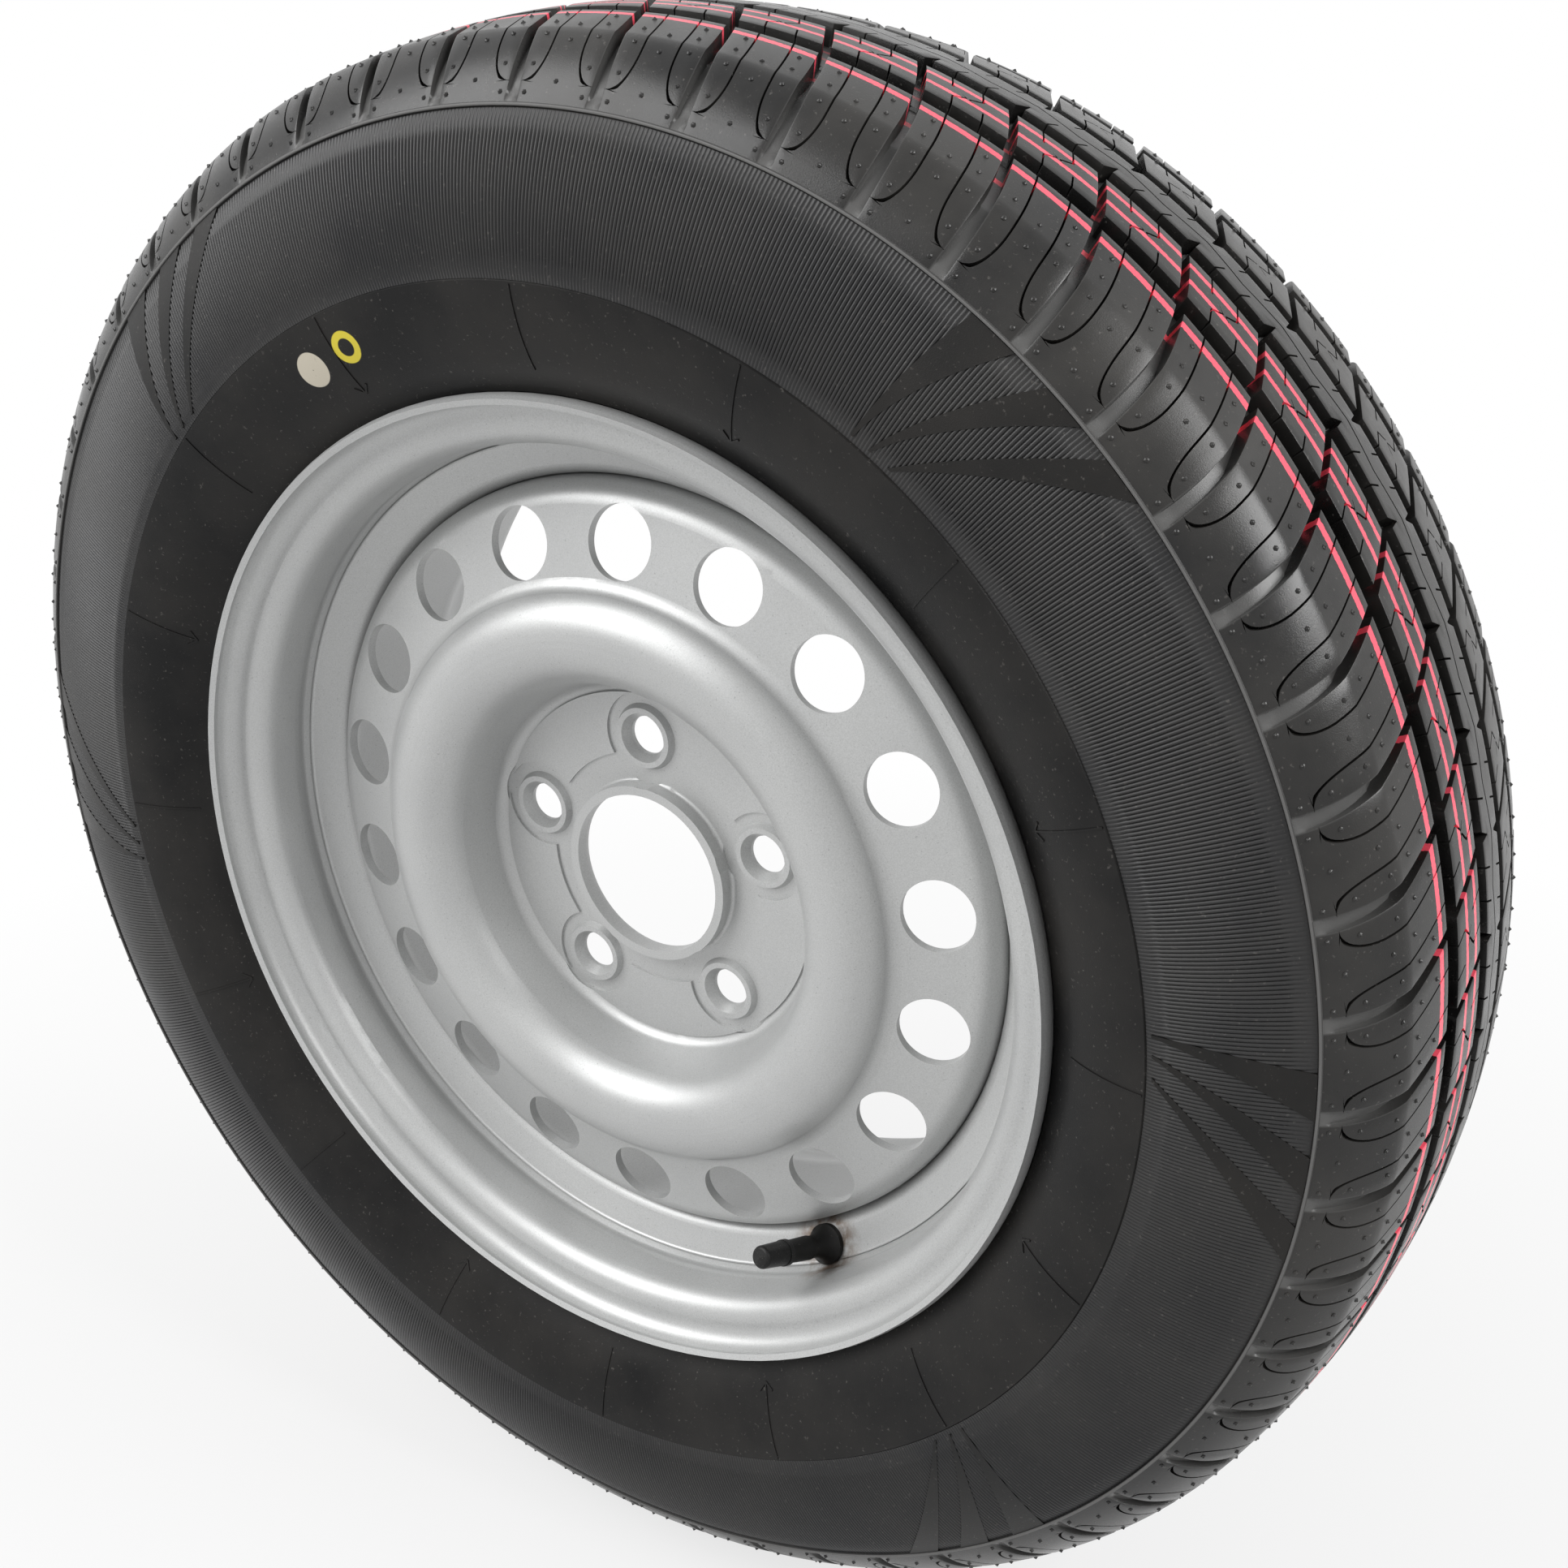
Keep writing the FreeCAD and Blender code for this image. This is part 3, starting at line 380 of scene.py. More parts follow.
def groove_rows(near, far):
    """Rows across one groove, as place and depth: rounded edge, drafted wall, floor, wall and edge."""
    return [
        (near - EDGE_ROUND, 0.0),
        (near, EDGE_DROP),
        (near + GROOVE_DRAFT, GROOVE_DEPTH),
        ((near + far) / 2, GROOVE_DEPTH),
        (far - GROOVE_DRAFT, GROOVE_DEPTH),
        (far, EDGE_DROP),
        (far + EDGE_ROUND, 0.0),
    ]


def outer_rows():
    """Rows of the outer tread, from the shoulder ring to the middle of the second groove."""
    rows = [(-y, 0.0) for y in SHOULDER_ROWS + OUTER_BLOCK_ROWS]
    rows += groove_rows(*GROOVES[0])
    rows += [(y, 0.0) for y in OUTER_RIB_ROWS]
    return np.array(rows + groove_rows(*GROOVES[1])[:4])


def inner_rows():
    """Rows of the inner tread, from the middle of the second groove to the inner shoulder ring."""
    rows = groove_rows(*GROOVES[1])[3:]
    rows += [(y, MID_CUT_DEPTH if y == MID_CUT_ROW else 0.0) for y in MIDDLE_RIB_ROWS]
    rows += groove_rows(*GROOVES[2])
    rows += [(y, 0.0) for y in INNER_RIB_ROWS]
    rows += groove_rows(*GROOVES[3])
    return np.array(rows + [(y, 0.0) for y in SHOULDER_ROWS[::-1]])


def shoulder_sipe(reach, slot_edge):
    """Share of a pitch from the slot to its sipe, which bends into the slot along a quarter of a
    squarish ellipse."""
    bend = np.clip((reach - SIPE_BEND_Y) / (SIPE_END_Y - SIPE_BEND_Y), 0, 1)
    ellipse = (1 - bend ** SIPE_BEND_POWER) ** (1 / SIPE_BEND_POWER)
    curved = slot_edge + (SIPE_SHARE - slot_edge) * ellipse
    past = np.interp(reach, PAST_SIPE_REACH, PAST_SIPE_SHARE)
    return np.where(reach > PAST_SIPE_REACH[0], past, curved)


def rib_sipes(y):
    """Shares of a pitch where the two sipe lines run on the ribs, and their shares of the full depth."""
    places = np.interp(y, STEP_Y, STEP_FIRST), np.interp(y, STEP_Y, STEP_SECOND)
    return places, (np.interp(y, FIRST_CUT_Y, CUT_SHARE), np.interp(y, SECOND_CUT_Y, CUT_SHARE))


def tread_band(rows):
    """One side of the tread as a closed ring, with the channel value of each point. Its grid's columns
    lean with the slots, clock = pitch x (k + share) + sweep, and each point lies under the plain tread
    by the greatest of the groove, slot and sipe depths there."""
    y, groove = rows[:, :1], rows[:, 1:]
    reach = np.abs(y)
    radius, normal_r, normal_y = tread_base(y)
    pitch_mm = radius * math.radians(PITCH_DEG)
    on_rib = (y > GROOVES[0][1] - 1) & (y < GROOVES[3][0] + 1)

    # Slots
    notch = np.interp(y, NOTCH_WIDTH_Y, NOTCH_WIDTHS)
    half = np.interp(reach, SLOT_WIDTH_REACH, SLOT_HALF_WIDTHS) * notch / pitch_mm
    floor_half = np.maximum(half - SLOT_WALL_RUN / pitch_mm, half * 0.5)
    notch_depth = np.interp(y, NOTCH_DEPTH_Y, NOTCH_DEPTHS)
    slot_depth = np.interp(reach, SLOT_DEPTH_REACH, SLOT_DEPTHS) * notch_depth
    slot_edge = np.minimum(EDGE_DROP, slot_depth)
    edge = half + EDGE_ROUND / pitch_mm

    # Sipes
    rib_places, rib_cuts = rib_sipes(y)
    shoulder = shoulder_sipe(reach, edge)
    first = np.where(on_rib, rib_places[0], shoulder)
    second = np.where(on_rib, rib_places[1], 1 - shoulder)
    on_shoulder = ((reach < SIPE_END_Y) & ~on_rib) * np.interp(reach, SIPE_FADE_REACH, SIPE_FADE)
    first_depth = SIPE_DEPTH * np.where(on_rib, rib_cuts[0], on_shoulder)
    second_depth = SIPE_DEPTH * np.where(on_rib, rib_cuts[1], on_shoulder)

    def half_sipe(line):
        lean = np.gradient((line * pitch_mm)[:, 0], y[:, 0])[:, None]
        return SIPE_WIDTH / 2 / pitch_mm * np.clip(np.sqrt(1 + lean ** 2), 1, SIPE_LEAN_LIMIT)

    near = half_sipe(first)
    far = half_sipe(second)

    # One pitch: slot, block, first sipe, block, second sipe, block and slot again
    zero = np.zeros_like(y)
    columns = [
        zero, floor_half, half, edge,
        (edge + first - near) / 2, first - near * SIPE_LIP, first - near, first, first + near,
        first + near * SIPE_LIP, (first + second) / 2, second - far * SIPE_LIP, second - far, second,
        second + far, second + far * SIPE_LIP, (second + far + 1 - edge) / 2,
        1 - edge, 1 - half, 1 - floor_half,
    ]
    depths = [
        slot_depth, slot_depth, slot_edge, zero,
        zero, zero, zero, first_depth, zero,
        zero, zero, zero, zero, second_depth,
        zero, zero, zero,
        zero, slot_edge, slot_depth,
    ]
    share = np.concatenate(columns, axis=1)
    depth = np.maximum(np.concatenate(depths, axis=1), groove)

    # Rows under the tread close the ring
    under = np.linspace(len(y) - 1, 0, UNDER_ROWS).astype(int)
    under_depth = np.interp(reach[under], [TREAD_EDGE_Y, SHOULDER_Y], UNDER_DEPTHS)
    even = np.arange(TREAD_COLUMNS)[None] / TREAD_COLUMNS
    share = np.concatenate([share, np.repeat(even, len(under), axis=0)])
    depth = np.concatenate([depth, np.repeat(under_depth, TREAD_COLUMNS, axis=1)])[:, None, :]
    order = np.concatenate([np.arange(len(y)), under])

    # Places of the points, with the middle rib's cut in waves
    pitch = np.arange(PITCHES)[None, :, None]
    clock = PITCH_DEG * (pitch + share[:, None, :]) + sweep(y[order])[:, :, None]
    wave = np.interp(y[order], MID_CUT_WAVE_Y, MID_CUT_WAVE_SHARE)[:, :, None]
    wave = MID_CUT_WAVE * wave * (4 * np.abs(share - 0.5) - 1)[:, None, :]
    point_r = radius[order][:, :, None] - depth * normal_r[order][:, :, None]
    point_y = y[order][:, :, None] + wave - depth * normal_y[order][:, :, None]
    # Share of the channel floors' painted light at each point
    in_channel = np.zeros((len(order), 1, TREAD_COLUMNS))
    in_channel[:len(y), 0] = np.interp(reach, CHANNEL_REACH, CHANNEL_SHARE) * CHANNEL_COLUMNS
    channel = np.repeat(in_channel, PITCHES, axis=1).astype(np.float32)
    return on_wheel(point_r, point_y, clock), wrapped_quads(len(order), PITCHES * TREAD_COLUMNS), channel


# Sidewalls


def casing_side():
    """One side of the casing's section, from the shoulder ring to the toe of the bead and up the lining
    to the crown."""
    radius = np.concatenate([SHOULDER_RING_R, BAND_ROWS, LOWER_WALL_ROWS])
    sunk = np.full(len(BAND_ROWS), -BAND_SUNK)
    raised = np.concatenate([SHOULDER_RING_LIFT, sunk, np.zeros(len(LOWER_WALL_ROWS))])
    half_width, normal_r, normal_y = wall_surface(radius)
    wall = np.stack([radius + raised * normal_r, half_width + raised * normal_y], axis=-1)
    curl = arc_points(*BEAD_CURL, count=8)
    heel = arc_points(*BEAD_HEEL, count=5)
    toe = np.array([[BEAD_TOE_R, BEAD_TOE_Y]])
    widest = (WIDEST_R, LINING_Y)
    high_r = SHOULDER_R - WALL_THICKNESS
    mid_r = (WIDEST_R + high_r) / 2
    middle = (mid_r, wall_half_width(mid_r) - WALL_THICKNESS)
    high = (high_r, wall_half_width(high_r) - WALL_THICKNESS)
    lining_low = arc_points(LINING_START, LINING_LOW_MID, widest, count=7)
    lining = arc_points(widest, middle, high, count=8)
    corner = arc_points(high, LINING_CORNER_MID, LINING_CORNER_END, count=6)
    crown_r = LINING_R - LINING_CROWN_R + np.sqrt(LINING_CROWN_R ** 2 - LINING_CROWN_Y ** 2)
    crown = np.stack([crown_r, LINING_CROWN_Y], axis=-1)
    return np.concatenate([wall, curl, heel, toe, lining_low, lining[1:], corner[1:], crown])


def casing():
    """Sidewalls, beads and lining: the section's two sides and the top under the tread, turned all
    round."""
    side = casing_side()
    other = side[::-1] * [1, -1]
    crown, normal_r, normal_y = tread_base(CASING_TOP_Y)
    top_r = crown - CASING_TOP_SUNK * normal_r
    top = np.stack([top_r, CASING_TOP_Y - CASING_TOP_SUNK * normal_y], axis=-1)
    section = np.concatenate([side, [[LINING_R, 0.0]], other, top])
    clock = np.arange(CASING_TURNS) * 360.0 / CASING_TURNS
    points = on_wheel(section[:, :1], section[:, 1:], clock[None])
    return points, wrapped_quads(len(section), CASING_TURNS)


def rib_band(side):
    """The ribbed band of a sidewall as a closed ring: four columns to a ridge, from valley over crest to
    valley."""
    columns = RIB_COUNT * len(RIB_SHAPE)
    clock = np.arange(columns)[None] * 360.0 / columns
    radius = np.linspace(RIB_TOP_R, RIB_FOOT_R, RIB_ROWS)[:, None]
    ridge = np.tile(RIB_SHAPE, RIB_COUNT)[None]
    fade = np.clip(np.minimum(RIB_TOP_R - radius, radius - RIB_FOOT_R), 0, 1)
    top = on_wall(clock, radius, side, RIB_HEIGHT * (ridge * fade - 1))
    foot = np.array([[RIB_FOOT_R], [RIB_MID_R], [RIB_TOP_R]])
    under = on_wall(clock, foot, side, -RIB_UNDER)
    return np.concatenate([top, under]), wrapped_quads(len(radius) + len(foot), columns)


def fan_leaves(side):
    """Plain leaves over the ribs, each a closed strip whose two edges part from its tip by a power of
    the way out."""
    along = np.linspace(LEAF_START, 1, LEAF_ROWS)[:, None]
    radius = RIB_FOOT_R + (RIB_TOP_R - RIB_FOOT_R) * along
    leaves = []
    for start in FAN_CLOCKS:
        for tip, low, high, power in FAN_LEAVES:
            low_edge = tip + (low - tip) * along ** power
            high_edge = tip + LEAF_TIP_DEG + (high - tip - LEAF_TIP_DEG) * along ** power
            clock = start + low_edge + (high_edge - low_edge) * LEAF_ACROSS
            leaves.append(on_wall(clock if side < 0 else -clock, radius, side, LEAF_LIFT))
    cap = np.array([[5, 4, 1, 0], [4, 3, 2, 1]])
    columns = LEAF_LIFT.size
    end = cap[:, ::-1] + (LEAF_ROWS - 1) * columns
    leaf = np.concatenate([tube_quads(LEAF_ROWS, columns), cap, end])
    return np.array(leaves), many(LEAF_ROWS * columns, leaf, len(leaves))


def wall_marks():
    """Divider lines of the bead band, every second one with arrow ticks at its foot, as clock and radius
    of both ends."""
    lines = []
    for index in range(MARK_COUNT):
        clock = MARK_START_DEG + 360.0 / MARK_COUNT * index
        lines.append((clock, MARK_FOOT_R, clock, MARK_TOP_R))
        if index % 2:
            lines.append((clock, MARK_FOOT_R, clock - TICK_DEG, TICK_R))
            lines.append((clock, MARK_FOOT_R, clock + TICK_DEG, TICK_R))
    return np.array(lines)


def wall_lines(ends, side):
    """Thin raised lines on a sidewall, each a closed strip carried straight between its two ends."""
    along = np.linspace(0, 1, MARK_ROWS)[None, :, None]
    clock = ends[:, None, 0:1] + (ends[:, None, 2:3] - ends[:, None, 0:1]) * along
    radius = ends[:, None, 1:2] + (ends[:, None, 3:4] - ends[:, None, 1:2]) * along
    run_t = np.radians(ends[:, 2] - ends[:, 0]) * (ends[:, 1] + ends[:, 3]) / 2
    run_r = ends[:, 3] - ends[:, 1]
    length = np.hypot(run_t, run_r)
    aside_t = (-run_r / length)[:, None, None]
    aside_r = (run_t / length)[:, None, None]
    offset = np.array([-0.5, 0.5, 0.5, -0.5])[None, None, :] * MARK_WIDTH
    lift = np.array([MARK_HEIGHT, MARK_HEIGHT, MARK_ROOT, MARK_ROOT])[None, None, :]
    clock = clock + np.degrees(offset * aside_t / radius)
    points = on_wall(clock, radius + offset * aside_r, side, lift)
    cap = np.array([[3, 2, 1, 0]])
    columns = offset.size
    end = cap[:, ::-1] + (MARK_ROWS - 1) * columns
    line = np.concatenate([tube_quads(MARK_ROWS, columns), cap, end])
    return points, many(MARK_ROWS * columns, line, len(ends))


# Small pieces


def stub_places():
    """Clock, radius, place and normal of the vent stubs in every pitch of both shoulders."""
    side = np.repeat([-1.0, 1.0], PITCHES * len(STUB_SPOTS))
    pitch = np.tile(np.repeat(np.arange(PITCHES), len(STUB_SPOTS)), 2)
    share = np.tile(STUB_SPOTS[:, 0], 2 * PITCHES)
    y = np.tile(STUB_SPOTS[:, 1], 2 * PITCHES) * side
    radius, normal_r, normal_y = tread_base(y)
    return PITCH_DEG * (pitch + share) + sweep(y), radius, y, normal_r, normal_y


def vent_stubs(places):
    """Vent stubs as closed domes of four rings, set along the surface's normal at their places."""
    clock, radius, y, normal_r, normal_y = (value[:, None, None] for value in places)
    turn = np.arange(STUB_SIDES) * 2 * math.pi / STUB_SIDES
    across = STUB_SIZES[:, None] * np.cos(turn)[None]
    along = STUB_SIZES[:, None] * np.sin(turn)[None]
    out = np.repeat(STUB_LIFTS[:, None], STUB_SIDES, axis=1)
    point_r = radius + out * normal_r - along * normal_y
    point_y = y + out * normal_y + along * normal_r
    points = on_wheel(point_r, point_y, clock + np.degrees(across / radius))
    foot = np.array([[0, 5, 4, 3], [0, 3, 2, 1]])
    top = np.array([[0, 1, 2, 3], [0, 3, 4, 5]]) + (len(STUB_SIZES) - 1) * STUB_SIDES
    stub = np.concatenate([tube_quads(len(STUB_SIZES), STUB_SIDES), foot, top])
    return points, many(len(STUB_SIZES) * STUB_SIDES, stub, len(clock))


def valve_spring():
    """A round wire on a helix about the valve's axis: centre = foot + R (u cos t + v sin t) + rise t."""
    turn = np.linspace(0, 2 * math.pi * SPRING_TURNS, SPRING_STEPS * SPRING_TURNS + 1)[:, None]
    across = np.cross(VALVE_AXIS, (0.0, 0.0, 1.0))
    across /= np.linalg.norm(across)
    radial = np.cos(turn) * across + np.sin(turn) * np.cross(VALVE_AXIS, across)
    low = SPRING_FOOT + WIRE_R
    high = SPRING_TOP - WIRE_R
    centre = VALVE_FOOT + SPRING_R * radial + (low + (high - low) * turn / turn[-1]) * VALVE_AXIS
    around = np.arange(WIRE_SIDES)[None, :, None] * 2 * math.pi / WIRE_SIDES
    section = np.cos(around) * radial[:, None] + np.sin(around) * VALVE_AXIS
    points = centre[:, None] + WIRE_R * section
    cap = np.array([[3, 2, 1, 0], [7, 4, 3, 0], [7, 6, 5, 4]])
    end = cap[:, ::-1] + (len(turn) - 1) * WIRE_SIDES
    return points, np.concatenate([tube_quads(len(turn), WIRE_SIDES), cap, end])


# Shader tools


def shader_group(name, inputs, outputs):
    """A new node group with the named sockets, and its two ends."""
    group = bpy.data.node_groups.new(name, "ShaderNodeTree")
    for socket, kind, value in inputs:
        made = group.interface.new_socket(name=socket, in_out="INPUT", socket_type=kind)
        made.default_value = value
    for socket, kind in outputs:
        group.interface.new_socket(name=socket, in_out="OUTPUT", socket_type=kind)
    return group, group.nodes.new("NodeGroupInput"), group.nodes.new("NodeGroupOutput")


def wire(tree, source, target):
    """Links two sockets."""
    tree.links.new(source, target)


def math_node(tree, operation, a, b=None, clamp=False):
    """A math node on sockets or numbers, and its result."""
    node = tree.nodes.new("ShaderNodeMath")
    node.operation = operation
    node.use_clamp = clamp
    for socket, value in zip(node.inputs, (a, b)):
        if value is None:
            continue
        if isinstance(value, (int, float)):
            socket.default_value = value
        else:
            wire(tree, value, socket)
    return node.outputs[0]


def mix_colour(tree, share, a, b):
    """Two colours mixed by a mask; colours are sockets or tuples."""
    node = tree.nodes.new("ShaderNodeMix")
    node.data_type = "RGBA"
    wire(tree, share, node.inputs["Factor"])
    for socket, value in zip((node.inputs[6], node.inputs[7]), (a, b)):
        if isinstance(value, tuple):
            socket.default_value = (*value, 1.0)
        else:
            wire(tree, value, socket)
    return node.outputs[2]


def noise(tree, vector, scale, detail, rough=0.55):
    """Value of a noise texture at a scale in cells per metre."""
    node = tree.nodes.new("ShaderNodeTexNoise")
    if isinstance(scale, (int, float)):
        node.inputs["Scale"].default_value = scale
    else:
        wire(tree, scale, node.inputs["Scale"])
    node.inputs["Detail"].default_value = detail
    node.inputs["Roughness"].default_value = rough
    wire(tree, vector, node.inputs["Vector"])
    return node.outputs["Fac"]


def remap(tree, value, low, high, to_low=0.0, to_high=1.0):
    """A value stretched from one span to another and held at its ends."""
    node = tree.nodes.new("ShaderNodeMapRange")
    node.clamp = True
    wire(tree, value, node.inputs["Value"])
    spans = {"From Min": low, "From Max": high, "To Min": to_low, "To Max": to_high}
    for socket, number in spans.items():
        node.inputs[socket].default_value = number
    return node.outputs["Result"]


def make_mottle():
    """Slow stains and fine specks of a used surface: two masks and a fine grain height."""
    group, start, end = shader_group(
        "surface_mottle",
        [("Stain Scale", "NodeSocketFloat", 14.0), ("Speck Scale", "NodeSocketFloat", 900.0),
         ("Grain Scale", "NodeSocketFloat", 1800.0)],
        [("Stain", "NodeSocketFloat"), ("Speck", "NodeSocketFloat"), ("Grain", "NodeSocketFloat")],
    )
    place = group.nodes.new("ShaderNodeTexCoord").outputs["Object"]
    stain = noise(group, place, start.outputs["Stain Scale"], 6.0, 0.6)
    wire(group, remap(group, stain, 0.35, 0.7), end.inputs["Stain"])
    speck = noise(group, place, start.outputs["Speck Scale"], 2.0, 0.5)
    wire(group, remap(group, speck, 0.66, 0.76), end.inputs["Speck"])
    grain = noise(group, place, start.outputs["Grain Scale"], 3.0, 0.6)
    wire(group, grain, end.inputs["Grain"])
    return group


def make_band():
    """A painted line round the axle at a place along it: one inside, with a broken edge."""
    group, start, end = shader_group(
        "painted_line",
        [("Place", "NodeSocketFloat", 0.0), ("Half Width", "NodeSocketFloat", 0.001)],
        [("Mask", "NodeSocketFloat")],
    )
    place = group.nodes.new("ShaderNodeTexCoord").outputs["Object"]
    split = group.nodes.new("ShaderNodeSeparateXYZ")
    wire(group, place, split.inputs[0])
    ragged = remap(group, noise(group, place, 900.0, 2.0), 0.2, 0.8, -0.00025, 0.00025)
    offset = math_node(group, "SUBTRACT", split.outputs["Y"], start.outputs["Place"])
    away = math_node(group, "ADD", math_node(group, "ABSOLUTE", offset), ragged)
    gap = math_node(group, "SUBTRACT", start.outputs["Half Width"], away)
    wire(group, remap(group, gap, -0.0001, 0.0001), end.inputs["Mask"])
    return group


def make_spot():
    """A soft-edged mask between an inner and an outer distance from a place on the object."""
    group, start, end = shader_group(
        "spot_ring",
        [("Centre", "NodeSocketVector", (0.0, 0.0, 0.0)), ("Inner", "NodeSocketFloat", 0.0),
         ("Outer", "NodeSocketFloat", 0.01), ("Blur", "NodeSocketFloat", 0.0003)],
        [("Mask", "NodeSocketFloat")],
    )
    place = group.nodes.new("ShaderNodeTexCoord").outputs["Object"]
    distance = group.nodes.new("ShaderNodeVectorMath")
    distance.operation = "DISTANCE"
    wire(group, place, distance.inputs[0])
    wire(group, start.outputs["Centre"], distance.inputs[1])
    away = distance.outputs["Value"]
    blur = start.outputs["Blur"]
    to_outer = math_node(group, "SUBTRACT", start.outputs["Outer"], away)
    to_inner = math_node(group, "SUBTRACT", away, start.outputs["Inner"])
    outside = math_node(group, "DIVIDE", to_outer, blur, True)
    inside = math_node(group, "DIVIDE", to_inner, blur, True)
    wire(group, math_node(group, "MULTIPLY", outside, inside), end.inputs["Mask"])
    return group


MOTTLE = make_mottle()
BAND = make_band()
SPOT = make_spot()


def placed(tree, group, **values):
    """A group set into a material with its own values; underscores in names stand for spaces."""
    node = tree.nodes.new("ShaderNodeGroup")
    node.node_tree = group
    for name, value in values.items():
        node.inputs[name.replace("_", " ")].default_value = value
    return node.outputs


def new_material(name, **sockets):
    """A Principled material with plain values set on its shader."""
    material = bpy.data.materials.new(name)
    material.use_nodes = True
    tree = material.node_tree
    shader = tree.nodes["Principled BSDF"]
    for socket, value in sockets.items():
        shader.inputs[socket.replace("_", " ")].default_value = value
    return material, tree, shader


def bump(tree, shader, height, strength, distance):
    """A bump node on a height, fed to the shader's normal."""
    node = tree.nodes.new("ShaderNodeBump")
    node.inputs["Strength"].default_value = strength
    node.inputs["Distance"].default_value = distance
    wire(tree, height, node.inputs["Height"])
    wire(tree, node.outputs["Normal"], shader.inputs["Normal"])


# Colours of marks and dirt, and of painted light on the channel floors and the shoulder ring
DUST = (0.16, 0.15, 0.14)
CHANNEL_LIGHT_GREY = (0.085, 0.084, 0.082)
LINE_RED = (0.88, 0.1, 0.15)
SPOT_YELLOW = (0.72, 0.6, 0.06)
STAMP_PALE = (0.6, 0.55, 0.45)
RING_HIGHLIGHT_GREY = (0.17, 0.168, 0.165)
PAINT_SHADE = (0.38, 0.385, 0.38)
PAINT_SPECK = (0.12, 0.12, 0.125)
RUST = (0.14, 0.08, 0.04)

# Sizes of marks in metres: lines as place and half width, rings as inner and outer distance
RED_LINES = ((-0.042, 0.0013), (-0.0217, 0.00105), (-0.0139, 0.00105))
YELLOW_RING = (0.0032, 0.0062)
STAMP_SIZE = 0.0068
# Inner and outer distance from the axle's middle of the shoulder ring's painted highlight
RING_HIGHLIGHT_SPAN = (0.2967, 0.298)
RUST_SIZE = 0.0185
RUST_BLUR = 0.01


def rubber(name, dark, pale, rough, gloss):
    """Moulded rubber: black with a paler bloom in slow stains, dust specks and a fine grain."""
    material, tree, shader = new_material(name, Specular_IOR_Level=gloss)
    mottle = placed(tree, MOTTLE, Stain_Scale=16.0, Speck_Scale=700.0, Grain_Scale=2200.0)
    colour = mix_colour(tree, mottle["Stain"], dark, pale)
    colour = mix_colour(tree, math_node(tree, "MULTIPLY", mottle["Speck"], 0.35), colour, DUST)
    wire(tree, remap(tree, mottle["Stain"], 0.0, 1.0, *rough), shader.inputs["Roughness"])
    bump(tree, shader, mottle["Grain"], 0.25, 0.0002)
    wire(tree, colour, shader.inputs["Base Color"])
    return material, tree, shader, colour


def tread_rubber():
    """Tread rubber, paler with painted light on the floors of the shoulder's channels, with three red
    lines all round.
    """
    material, tree, shader, colour = rubber(
        "tread_rubber", (0.005, 0.005, 0.0052), (0.026, 0.0245, 0.0225), (0.2, 0.4), 0.36)
    # Painted light: the channel floors are mixed towards a paler grey, as if lit from below
    channel = tree.nodes.new("ShaderNodeAttribute")
    channel.attribute_name = "channel"
    colour = mix_colour(tree, channel.outputs["Fac"], colour, CHANNEL_LIGHT_GREY)
    lines = [placed(tree, BAND, Place=place, Half_Width=half)["Mask"] for place, half in RED_LINES]
    mask = math_node(tree, "MAXIMUM", math_node(tree, "MAXIMUM", lines[0], lines[1]), lines[2])
    wire(tree, mix_colour(tree, mask, colour, LINE_RED), shader.inputs["Base Color"])
    return material


def wall_spot(place):
    """A place on the outer sidewall in metres, from its clock angle and radius."""
    clock, radius = np.array(place)
    return tuple(on_wall(clock, radius, -1, 0.0) * MM)


def wall_rubber():
    """Sidewall rubber with the yellow ring and the pale stamp near the bead, and a painted highlight
    along the shoulder ring."""
    material, tree, shader, colour = rubber(
        "wall_rubber", (0.005, 0.005, 0.0052), (0.021, 0.0195, 0.018), (0.32, 0.52), 0.18)
    inner, outer = YELLOW_RING
    yellow = placed(tree, SPOT, Centre=wall_spot(YELLOW_SPOT), Inner=inner, Outer=outer)["Mask"]
    stamp = placed(tree, SPOT, Centre=wall_spot(STAMP_SPOT), Outer=STAMP_SIZE)["Mask"]
    worn = remap(tree, placed(tree, MOTTLE, Speck_Scale=420.0)["Speck"], 0.0, 1.0, 1.0, 0.55)
    colour = mix_colour(tree, math_node(tree, "MULTIPLY", yellow, worn), colour, SPOT_YELLOW)
    colour = mix_colour(tree, math_node(tree, "MULTIPLY", stamp, worn), colour, STAMP_PALE)
    # Painted highlight: the rounded shoulder ring is painted a paler grey that stands in for its lit edge
    inner, outer = RING_HIGHLIGHT_SPAN
    ring_highlight = placed(tree, SPOT, Inner=inner, Outer=outer)["Mask"]
    colour = mix_colour(tree, math_node(tree, "MULTIPLY", ring_highlight, 0.8), colour, RING_HIGHLIGHT_GREY)
    wire(tree, colour, shader.inputs["Base Color"])
    return material


